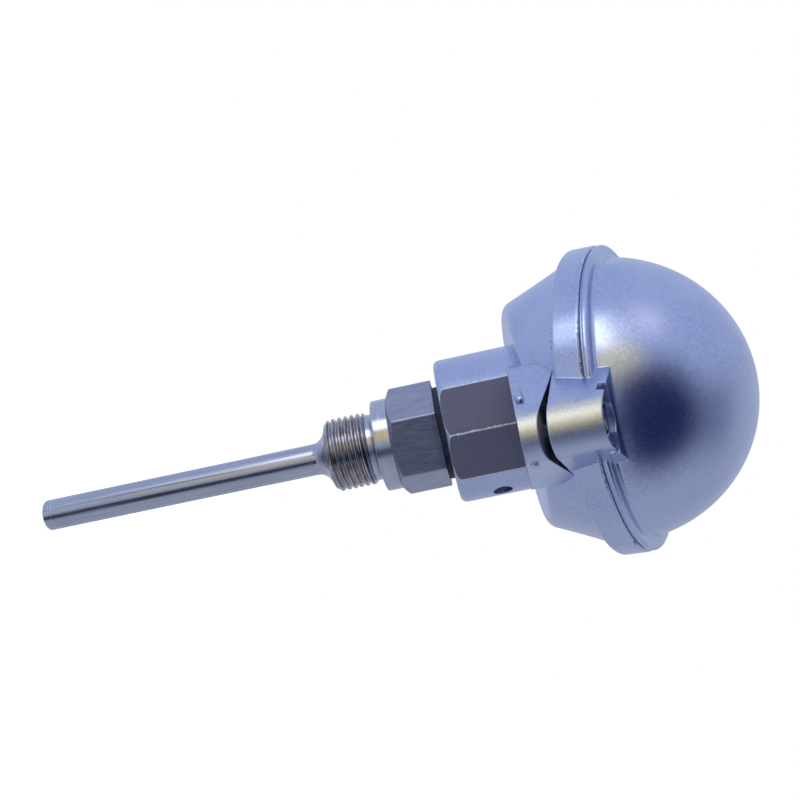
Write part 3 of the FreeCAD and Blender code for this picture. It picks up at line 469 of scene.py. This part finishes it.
# %% Steels
CLOUD, CLOUD_SHARE = 6.0, 0.35     # mm across the darker clouds, and how dark they are
STAIN, STAIN_SHARE = 3.5, 0.5      # mm across the stains, and how strong they are
EDGE = 0.15                        # mm, radius of a machined corner


def steel(name, colour, dark, lines_mm, stretch, rough, depth_mm, stain=None):
    """Bare steel with lines that run where stretch is large, darker in soft clouds, stained in patches."""
    material, tree, shader, place = start(name, Metallic=1.0)
    streak = mottle(tree, place, lines_mm, 3.0, stretch, 0.6)
    lines = add(tree, "MapRange", (streak, 0.30, 0.75), **SMOOTH)
    cloud = add(tree, "MapRange", (mottle(tree, place, CLOUD), 0.45, 0.80), **SMOOTH)
    cloud = add(tree, "Math", (cloud, CLOUD_SHARE), operation="MULTIPLY")
    mixed = add(tree, "Mix", {0: lines, 6: dark, 7: colour}, **COLOURS)
    mixed = add(tree, "Mix", {0: cloud, 6: mixed, 7: dark}, **COLOURS)
    if stain:
        patches = add(tree, "MapRange", (mottle(tree, place, STAIN, 3.0), 0.45, 0.65), **SMOOTH)
        patches = add(tree, "Math", (patches, STAIN_SHARE), operation="MULTIPLY")
        mixed = add(tree, "Mix", {0: patches, 6: mixed, 7: stain}, **COLOURS)
    dull = add(tree, "MapRange", (streak, 0.2, 0.8, rough - 0.05, rough + 0.07), **SMOOTH)
    corners = add(tree, "Bevel", {"Radius": EDGE / MM}, samples=6)
    bumps = {"Height": streak, "Strength": 1.0, "Distance": depth_mm / MM, "Normal": corners}
    join(tree, shader, {"Base Color": mixed, "Roughness": dull, "Normal": add(tree, "Bump", bumps)})
    return material


ALONG_TUBE = (1, 1, 60)
ALONG_BAR = (1, 1, 40)
ROUND_LATHE = (30, 30, 1)
# Drawn tube: near a mirror across, its highlights run as long streaks down the tube.
steel_tube = steel("drawn_stainless_tube", "#bcc0cf", "#a1a5b6", 0.30, ALONG_TUBE, 0.21, 0.003)
# Turned steel: fine rings that break the light into bands. Real ones are about 0.1 mm apart, drawn at 0.22.
steel_turned = steel("turned_stainless_fitting", "#c4c7d3", "#a5a8b6", 0.22, ROUND_LATHE, 0.17, 0.004)
# The thread is the same steel with brown stains of heat and sealing paste in its grooves.
steel_thread = steel(
    "stained_stainless_thread", "#c4c4c9", "#97969c", 0.25, ROUND_LATHE, 0.17, 0.004, "#8a6f58")
# Rolled bar: satin, with fine dark streaks along the hexagon's faces.
steel_brushed = steel("rolled_stainless_hexagon", "#b6b9c8", "#8a8ea2", 0.14, ALONG_BAR, 0.36, 0.010)
print("steels:", steel_tube.name, steel_turned.name, steel_thread.name, steel_brushed.name)

# %% [markdown]
# ## The smaller materials
# Screws are zinc-plated steel, the gland is nickel-plated brass, the terminal clamps are bare brass, the
# terminal block is unglazed steatite, and the seals are black rubber. They are small in the picture, so one
# recipe serves them all: two near colours in blotches, and a fine bump.

# %% Small finishes
def plain(name, colour, other, metallic, rough, size_mm, depth_mm):
    """Mottled finish: two near colours in blotches of size_mm, with bumps a fifth of that size."""
    material, tree, shader, place = start(name, Metallic=metallic)
    cloud = mottle(tree, place, size_mm, 3.0)
    share = add(tree, "MapRange", (cloud, 0.35, 0.65), **SMOOTH)
    mixed = add(tree, "Mix", {0: share, 6: colour, 7: other}, **COLOURS)
    dull = add(tree, "MapRange", (cloud, 0.2, 0.8, rough - 0.05, rough + 0.06), **SMOOTH)
    corners = add(tree, "Bevel", {"Radius": EDGE / MM}, samples=6)
    height = mottle(tree, place, size_mm / 5)
    bumps = {"Height": height, "Strength": 1.0, "Distance": depth_mm / MM, "Normal": corners}
    join(tree, shader, {"Base Color": mixed, "Roughness": dull, "Normal": add(tree, "Bump", bumps)})
    return material


# Zinc plating on turned steel: a grey, slightly cloudy shine.
zinc = plain("zinc_plated_steel", "#a6acbe", "#7f869a", 1.0, 0.3, 1.6, 0.006)
# Nickel plating on turned brass: smooth and warm grey, a little dull from handling.
nickel = plain("nickel_plated_brass", "#b6b6bc", "#a3a4ad", 1.0, 0.26, 3.0, 0.003)
# Milled brass: yellow, with a soft shine.
brass = plain("bare_brass", "#d9b36a", "#c39a50", 1.0, 0.28, 1.5, 0.006)
# Pressed and fired steatite: chalky off-white, with the grain of the pressed powder.
steatite = plain("unglazed_steatite", "#e6e0d2", "#d9d2c2", 0.0, 0.6, 2.5, 0.02)
# Moulded rubber: nearly black, matt, with a blue cast from the light.
rubber = plain("black_rubber", "#20263c", "#191e31", 0.0, 0.6, 1.5, 0.02)
# Drawn nickel wire: warm grey with a low shine.
lead = plain("nickel_lead_wire", "#c4bfb4", "#aaa498", 1.0, 0.3, 1.0, 0.004)
print("small finishes:", zinc.name, nickel.name, brass.name, steatite.name, rubber.name, lead.name)

# %% [markdown]
# ## Each solid takes its finish
# A solid whose shape is right stays as it is, and only its material changes. The table follows the real
# product, piece by piece.

# %% Give each solid its material
finishes = {
    "protection_tube": steel_tube, "tube_end_plug": steel_turned, "process_fitting": steel_turned,
    "neck_gasket": rubber, "head_body": paint_body, "neck_grub_screw": zinc, "cover": paint_cover,
    "cover_gasket": rubber, "hinge_pin": steel_turned, "cover_screw": zinc, "screw_retainer": zinc,
    "insert_sheath": steel_tube, "insert_disc": steel_turned, "terminal_block": steatite,
    "terminal_clamps": brass, "terminal_screws": zinc, "lead_wires": lead, "insert_screws": zinc,
    "insert_springs": steel_turned, "earth_screw": brass, "gland_body": nickel, "gland_washer": rubber,
    "gland_seal": rubber, "gland_nut": nickel,
}
for name, material in finishes.items():
    mesh = nodes[name].data
    mesh.materials.clear()
    mesh.materials.append(material)
print(len(finishes), "solids have their materials")

# %% [markdown]
# ## Meshes from formulas
# The fitting and the springs are made again as surfaces, because they are helical and a solid helix is slow
# and heavy. A surface is a grid of points worked out by numpy, and the grid becomes four-sided faces. Where
# the surface closes on itself the last column joins the first.

# %% Faces of a grid
def quad_faces(rows, columns, closed):
    """Corner numbers of a grid's quads. Row r, column c is point r * columns + c; closed joins the ends."""
    steps = np.arange(columns if closed else columns - 1)
    r, c = np.meshgrid(np.arange(rows - 1), steps, indexing="ij")
    n = (c + 1) % columns
    corners = [r * columns + c, r * columns + n, (r + 1) * columns + n, (r + 1) * columns + c]
    return np.stack(corners, -1).reshape(-1, 4)


print("a grid of 3 by 4 points has", len(quad_faces(3, 4, False)), "faces")

# %% [markdown]
# ## From arrays to an object
# A mesh could be filled point by point, but Python is slow at that. The arrays are handed over whole, with
# foreach_set, and an object can be made of several shells, each with its own material.

# %% Mesh from shells
def mesh_object(name, shells, materials, smooth=True):
    """One object from several (points, quads, material number) shells, given in millimetres."""
    points = np.concatenate([s[0].reshape(-1, 3) for s in shells]) / MM
    starts = np.cumsum([0] + [s[0].reshape(-1, 3).shape[0] for s in shells[:-1]])
    faces = np.concatenate([s[1] + first for s, first in zip(shells, starts)])
    numbers = np.concatenate([np.full(len(s[1]), s[2]) for s in shells])
    mesh = bpy.data.meshes.new(name)
    mesh.vertices.add(len(points))
    mesh.vertices.foreach_set("co", points.astype(np.float32).ravel())
    mesh.loops.add(faces.size)
    mesh.loops.foreach_set("vertex_index", faces.astype(np.int32).ravel())
    mesh.polygons.add(len(faces))
    mesh.polygons.foreach_set("loop_start", np.arange(0, faces.size, 4, dtype=np.int32))
    mesh.polygons.foreach_set("material_index", numbers.astype(np.int32))
    mesh.polygons.foreach_set("use_smooth", np.full(len(faces), smooth))
    for material in materials:
        mesh.materials.append(material)
    mesh.update(calc_edges=True)
    mesh.validate()
    made = bpy.data.objects.new(name, mesh)
    bpy.context.scene.collection.objects.link(made)
    print(name, len(points), "points", len(faces), "faces")
    return made


print("shells are given in mm and stored over", MM)

# %% [markdown]
# ## Turning on the lathe
# A turned piece is an outline carried round the axis. Blender can spin an outline by itself, but with the
# arrays at hand the radius can also be bent on the way round. Straight runs of the outline are cut into
# short steps first, so that a thread has points enough to follow.

# %% Lathe
def lathe(radii, heights, columns=128, ripple=None):
    """Surface of revolution: point (r cos t, r sin t, z), r(z) from the outline and t round the axis."""
    t = np.linspace(0, 2 * np.pi, columns, endpoint=False)
    r = np.repeat(np.asarray(radii, float)[:, None], columns, 1)
    z = np.repeat(np.asarray(heights, float)[:, None], columns, 1)
    if ripple is not None:
        r = ripple(r, z, t[None, :])
    return np.stack([r * np.cos(t), r * np.sin(t), z], -1), quad_faces(len(r), columns, True)


def outline(corners, step=0.25):
    """Points along straight runs between (radius, height) corners, no further apart than step."""
    corners = np.asarray(corners, float)
    pieces = []
    for a, b in zip(corners[:-1], corners[1:]):
        n = max(1, int(np.ceil(np.hypot(*(b - a)) / step)))
        pieces.append(a + (b - a) * np.linspace(0, 1, n, endpoint=False)[:, None])
    return np.concatenate(pieces + [corners[-1:]])


print("a 10 mm run has", len(outline([(5, 0), (5, 10)])), "points")

# %% [markdown]
# ## The process fitting
# A fitting is turned from hexagon bar. From the tube upward it has a small foot that flares out, a
# rounded pipe thread of 14 turns to the inch, an undercut, a collar with the sealing face and the
# hexagon. The solid keeps the thread plain, so the fitting is made again here. A screw modifier could wind
# the thread, but bending the lathe's own radius keeps thread, foot and collar one skin.

# %% Turned skin of the fitting
PITCH = 1.814
MAJOR = 10.4775
GROOVE = 0.92                      # mm, depth of the thread
MINOR = MAJOR - GROOVE
THREAD_LOW, THREAD_HIGH = -14.3, -3.2
LEAD_IN = 1.1                      # mm, chamfer where the thread starts
FOOT_LOW = -19.3
FOOT_START, FOOT_TOP = 4.55, 9.1   # mm, radius of the foot at the tube and under the thread
TUBE = 4.5


def rolled_thread(r, z, t):
    """r cut to a rounded triangle of the fraction of a turn: z over the pitch, less t over a whole turn."""
    turn = (z / PITCH - t / (2 * np.pi)) % 1.0
    wave = np.abs(2 * turn - 1)
    crest = np.clip((wave - 0.5) * 1.25 + 0.5, 0.0, 1.0)
    crest = crest * crest * (3 - 2 * crest)
    cut = MINOR + (MAJOR - MINOR) * crest
    inside = (z > THREAD_LOW - 0.01) & (z < THREAD_HIGH + 0.01)
    return np.where(inside, np.minimum(r, cut), r)


def flare(z):
    """Radius of the foot: its start, plus its widening times the share of its height to the power 2.6."""
    u = np.clip((z - FOOT_LOW) / (THREAD_LOW - FOOT_LOW), 0, 1)
    return FOOT_START + (FOOT_TOP - FOOT_START) * u ** 2.6


foot_z = np.linspace(FOOT_LOW, THREAD_LOW, 24)
foot = np.stack([flare(foot_z), foot_z], 1)
thread_run = outline([
    (FOOT_TOP, THREAD_LOW), (MAJOR - LEAD_IN, THREAD_LOW), (MAJOR, THREAD_LOW + LEAD_IN),
    (MAJOR, THREAD_HIGH),
], 0.09)
upper = outline([
    (MAJOR, THREAD_HIGH), (9.55, -2.3), (9.5, -1.1), (10.4, 0.0), (12.75, 0.0), (13.02, 0.12), (13.1, 0.4),
    (13.1, 4.45), (12.9, 4.7), (12.0, 4.72),
], 0.2)
profile = np.concatenate([[[TUBE - 0.1, FOOT_LOW]], foot, thread_run[1:], upper[1:]])
turned_points, turned_faces = lathe(profile[:, 0], profile[:, 1], 192, rolled_thread)
print("turned outline:", len(profile), "rows")

# %% [markdown]
# ## The hexagon
# The bar's corners are turned down towards the collar, which leaves a curved chamfer on each face. A prism
# with a bevel would miss that curve. The smallest of three radii gives it: the flat wall, the chamfer's
# cone and the turned corner.

# %% Hexagon
HEX_WIDTH = 27.0
HEX_LOW, HEX_HIGH = 4.7, 18.0
HEX_TURN = math.radians(3.0)
HEX_CORNER = 15.52                 # mm, radius that the corners are turned to
CHAMFER_START = 13.48              # mm, radius of the chamfer at the lower face
CHAMFER = math.radians(30.0)
TOP_BREAK, TOP_INSET = 0.1, 0.15   # mm, height and depth of the broken upper edge
LOW_RING, HIGH_RING = 0.86, 0.75   # how far in the two end faces reach, as a share of the wall's radius


def hexagon_radius(t, inset=0.0):
    """Way from the axis to the wall: half the width over the cosine of the angle from the nearest flat."""
    a = (t - HEX_TURN) % (np.pi / 3) - np.pi / 6
    return (HEX_WIDTH / 2 - inset) / np.cos(a)


t = np.linspace(0, 2 * np.pi, 360, endpoint=False)[None, :]
z = np.concatenate([
    [HEX_LOW + 0.01], np.linspace(HEX_LOW + 0.012, HEX_LOW + 1.5, 24),
    np.linspace(HEX_LOW + 1.6, HEX_HIGH - 0.25, 8), [HEX_HIGH - 0.08, HEX_HIGH],
])[:, None]
cone = CHAMFER_START + (z - HEX_LOW) / math.tan(CHAMFER)
inset = np.clip((z - HEX_HIGH + TOP_BREAK) / TOP_BREAK, 0, 1) * TOP_INSET
r = np.minimum(np.minimum(hexagon_radius(t, inset), cone), HEX_CORNER)
walls = np.stack([r * np.cos(t), r * np.sin(t), z + 0 * t], -1)
low_face = walls[:1] * np.array([LOW_RING, LOW_RING, 1.0])
high_face = walls[-1:] * np.array([HIGH_RING, HIGH_RING, 1.0])
hexagon_points = np.concatenate([low_face, walls, high_face])
hexagon_faces = quad_faces(len(hexagon_points), t.size, True)
print("hexagon:", hexagon_points.shape[0], "rows of", hexagon_points.shape[1])

# %% [markdown]
# ## One fitting from both skins
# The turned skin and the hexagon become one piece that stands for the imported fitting. The faces between the
# thread's ends take the stained steel, by the height of their middle.

# %% Fitting
fitting = mesh_object("threaded_process_fitting", [
    (turned_points, turned_faces, 0), (hexagon_points, hexagon_faces, 1),
], [steel_turned, steel_brushed, steel_thread])
middles = np.zeros(len(fitting.data.polygons) * 3, np.float32)
fitting.data.polygons.foreach_get("center", middles)
heights = middles.reshape(-1, 3)[:, 2] * MM
numbers = np.zeros(len(fitting.data.polygons), np.int32)
fitting.data.polygons.foreach_get("material_index", numbers)
numbers[(numbers == 0) & (heights > THREAD_LOW) & (heights < THREAD_HIGH)] = 2
fitting.data.polygons.foreach_set("material_index", numbers)
fitting.data.set_sharp_from_angle(angle=math.radians(38))
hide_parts("process_fitting")
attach(fitting, "head")
print(int((numbers == 2).sum()), "faces of the thread are stained")

# %% [markdown]
# ## Springs of the insert
# The insert hangs on two springs under its screw heads, and they shorten as it is pushed up. A curve with a
# round bevel would give the wire too, but a grid that is worked out ends exactly at the solid's height.

# %% Springs
SPRING_RADIUS, SPRING_TURNS = 2.9, 5
SPRING_WIRE, SPRING_END = 0.4, 0.01    # mm, radius of the wire and of the last ring, which closes it


def coil(centre_x, low, high, steps=36, ring=12):
    """Tube along a helix: rings of the wire's radius, SPRING_RADIUS out and rising evenly with the turn."""
    share = np.linspace(0, 1, SPRING_TURNS * steps + 1)
    share = np.concatenate([[0], share, [1]])[:, None]
    wire = np.full(share.shape, SPRING_WIRE)
    wire[[0, -1]] = SPRING_END
    t = 2 * np.pi * SPRING_TURNS * share
    a = np.linspace(0, 2 * np.pi, ring, endpoint=False)[None, :]
    r = SPRING_RADIUS + wire * np.cos(a)
    z = low + SPRING_WIRE + (high - low - 2 * SPRING_WIRE) * share - wire * np.sin(a)
    return np.stack([centre_x + r * np.cos(t), r * np.sin(t), z], -1), quad_faces(len(share), ring, True)


spring_box = np.array([list(corner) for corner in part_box("insert_springs")]) * MM
spring_low, spring_high = spring_box[:, 2]
offset_x = spring_box[1, 0] - SPRING_RADIUS - SPRING_WIRE
coils = [(*coil(side * offset_x, spring_low, spring_high), 0) for side in (-1, 1)]
springs = mesh_object("round_wire_springs", coils, [steel_turned])
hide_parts("insert_springs")
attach(springs, "head")
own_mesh(springs)
print("springs from", round(spring_low, 2), "to", round(spring_high, 2), "mm")

# %% [markdown]
# ## Cast nubs
# Two small nubs stand on the flanks of the lower lug, close to its underside. They are what is left of the
# pads that the casting tool pushes on, so they are painted with the rest and ride on the body. A ball of
# rings would pinch at its poles, so the pad starts as a cube with a fine grid on each side. Its points are
# then drawn in until it is something between a ball and a block, with the soft edges of a cast pad.

# %% Cube grid
NUB_CUTS = 7                       # lines across each side of the cube


def cube_grid(name):
    """Mesh of a cube from -1 to 1 whose sides are cut into a grid, closed and with its faces outward."""
    shape = bmesh.new()
    bmesh.ops.create_cube(shape, size=2.0)
    bmesh.ops.subdivide_edges(shape, edges=shape.edges[:], cuts=NUB_CUTS, use_grid_fill=True)
    mesh = bpy.data.meshes.new(name)
    shape.to_mesh(mesh)
    shape.free()
    return mesh


print("a side of the cube has", (NUB_CUTS + 1) ** 2, "faces")

# %% [markdown]
# ## Two pads from the cube
# One formula draws the cube's points in, and the same function sets them up on the lug: outward from the
# flank, along it, and upward.

# %% Nubs
NUB_POWER = 2.6                    # 2 gives a ball, a high power a block


def nub(name, centre, out, half_sizes):
    """Rounded pad: the cube's points over (|x|^n + |y|^n + |z|^n)^(1/n), with n = NUB_POWER."""
    mesh = cube_grid(name)
    points = np.zeros(len(mesh.vertices) * 3, np.float32)
    mesh.vertices.foreach_get("co", points)
    points = points.reshape(-1, 3).astype(float)
    reach = (np.abs(points) ** NUB_POWER).sum(1, keepdims=True) ** (1 / NUB_POWER)
    out = np.array(out) / np.linalg.norm(out)
    up = np.array([0.0, 0.0, 1.0])
    axes = np.stack([out, np.cross(up, out), up])
    points = np.array(centre) + (points / reach * np.array(half_sizes)) @ axes
    mesh.vertices.foreach_set("co", (points / MM).astype(np.float32).ravel())
    mesh.polygons.foreach_set("use_smooth", np.full(len(mesh.polygons), True))
    mesh.materials.append(paint_body)
    mesh.update()
    made = bpy.data.objects.new(name, mesh)
    bpy.context.scene.collection.objects.link(made)
    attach(made, "head")
    print(name, len(points), "points", len(mesh.polygons), "faces")


nub("cast_nub_left", (-8.6, -45.9, 38.5), (-0.896, -0.444, 0.0), (1.3, 2.2, 1.1))
nub("cast_nub_right", (6.3, -50.4, 38.6), (0.896, -0.444, 0.0), (0.9, 1.5, 1.0))

# %% [markdown]
# ## The room in the metal
# Metal shows its surroundings. In the photograph a dark side of the room stands in the dome as a deep blue
# patch, beside a bright window whose light is warm at its edge. An image of a room would do, but a few soft
# patches of colour do as well. Rays from the camera see plain white, and all other rays see the room.

# %% World
world = bpy.data.worlds.new("studio")
bpy.context.scene.world = world
world.use_nodes = True
sky = world.node_tree
sky.nodes.clear()
direction = add(sky, "TexCoord", output="Generated")


def patch(centre, half_widths, fade):
    """1 in an ellipsoid of directions about a centre, fading to 0 at its edge from a share of its size."""
    offset = add(sky, "VectorMath", (direction, Vector(centre).normalized()), operation="SUBTRACT")
    scaled = add(sky, "VectorMath", (offset, [1 / w for w in half_widths]), operation="MULTIPLY")
    length = add(sky, "VectorMath", (scaled,), "Value", operation="LENGTH")
    return add(sky, "MapRange", (length, 1.0, fade), **SMOOTH)


softbox = patch((-0.84, -0.52, -0.05), (0.36, 0.38, 0.60), 0.3)
glow = patch((-0.78, -0.36, 0.54), (0.36, 0.40, 0.34), 0.0)
jamb = patch((-0.71, -0.68, -0.32), (0.10, 0.18, 0.40), 0.5)
window = patch((-0.52, -0.85, 0.00), (0.42, 0.42, 0.60), 0.45)
overhead = patch((0.35, -0.25, 0.90), (0.60, 0.60, 0.60), 0.1)
dark_wall = patch((0.24, -0.89, 0.36), (0.98, 0.92, 0.92), 0.42)
dark_sill = patch((0.20, -0.94, -0.36), (0.35, 0.50, 0.42), 0.45)
ground = patch((0.0, -0.25, -0.97), (0.75, 0.75, 0.50), 0.2)
print("eight patches of the room")

# %% [markdown]
# ## Colours of the room
# The patches lie over one another in the order of this list, from a pale room that is bluer on the left to
# the dark wall on top. The bright patches also shine with more than the strength of white.

# %% Colours of the world
toward = add(sky, "SeparateXYZ", (direction,)).node.outputs
above_sill = add(sky, "MapRange", (toward["Z"], -0.14, 0.06), **SMOOTH)
shade = add(sky, "Math", (dark_wall, above_sill), operation="MULTIPLY")
rightward = add(sky, "MapRange", (toward["X"], -0.7, 0.7), **SMOOTH)
room = add(sky, "Mix", {0: rightward, 6: "#cbd7f4", 7: "#c0c6d4"}, **COLOURS)
layers = (
    (ground, "#9299ad"), (overhead, "#8d96ac"), (softbox, "#f8faff"), (glow, "#f2efff"),
    (window, "#fbeebe"), (jamb, "#8e959f"), (dark_sill, "#3a3c48"), (shade, "#232c5a"),
)
for mask, colour in layers:
    room = add(sky, "Mix", {0: mask, 6: room, 7: colour}, **COLOURS)

high_window = add(sky, "MapRange", (toward["Z"], -0.1, 0.15), **SMOOTH)
high_window = add(sky, "Math", (window, high_window), operation="MULTIPLY")
power = add(sky, "Math", (softbox, 0.45, 1.0), operation="MULTIPLY_ADD")
for mask, more in ((glow, 0.3), (high_window, 0.45)):
    power = add(sky, "Math", (mask, more, power), operation="MULTIPLY_ADD")

backdrop = add(sky, "Background", {"Color": "#ffffff", "Strength": 1.0})
surroundings = add(sky, "Background", {"Color": room, "Strength": power})
seen = add(sky, "LightPath", output="Is Camera Ray")
add(sky, "OutputWorld", {"Surface": add(sky, "MixShader", (seen, surroundings, backdrop))})
print(len(layers), "colours laid over the room")

# %% [markdown]
# ## Lamp
# The world already lights everything from all round. One large, weak lamp stands low on the left, where the
# window is, and gives the matt pieces a light side. A sun would draw hard shadows that the photograph
# doesn't have, and a stronger lamp would render a colour paler than it is written.

# %% Lamp
light = bpy.data.lights.new("key", "AREA")
light.size = 0.30
light.energy = 0.4
light.color = linear("#f4f6ff")[:3]
key = bpy.data.objects.new("key", light)
key.location = (-0.55, -0.36, -0.03)
key_aim = Vector((0, 0, 0.04)) - Vector(key.location)
key.rotation_euler = key_aim.to_track_quat("-Z", "Y").to_euler()
bpy.context.scene.collection.objects.link(key)
print("lamp of", light.energy, "W at", tuple(round(c, 2) for c in key.location))

# %% [markdown]
# ## Floor
# The probe stands upright on a pale floor, which the photograph's view doesn't show. It glows a little for
# the camera, so that it meets the white backdrop, and it is clear for reflected rays, because the metal in
# the photograph shows the room on all sides.

# %% Floor
FLOOR_HALF = 250.0                 # mm
FLOOR_LEVEL = -100.6               # mm, 0.4 mm above the tip's lowest point, so that no gap shows
corners = np.array([[-1, -1, 0], [1, -1, 0], [1, 1, 0], [-1, 1, 0]]) * FLOOR_HALF
floor_points = corners + np.array([0, 0, FLOOR_LEVEL])
floor_material, tree, shader, place = start(
    "white_floor", Roughness=0.7, Base_Color=linear("#f6f6f8"), Emission_Color=(1, 1, 1, 1))
rays = add(tree, "LightPath").node.outputs
glimmer = add(tree, "Math", (rays["Is Camera Ray"], 0.75), operation="MULTIPLY")
join(tree, shader, {"Emission Strength": glimmer})
clear = add(tree, "BsdfTransparent")
surface = add(tree, "MixShader", (rays["Is Glossy Ray"], shader.outputs[0], clear))
tree.links.new(surface, tree.nodes["Material Output"].inputs["Surface"])
floor = mesh_object("floor", [(floor_points, np.array([[0, 1, 2, 3]]), 0)], [floor_material], False)
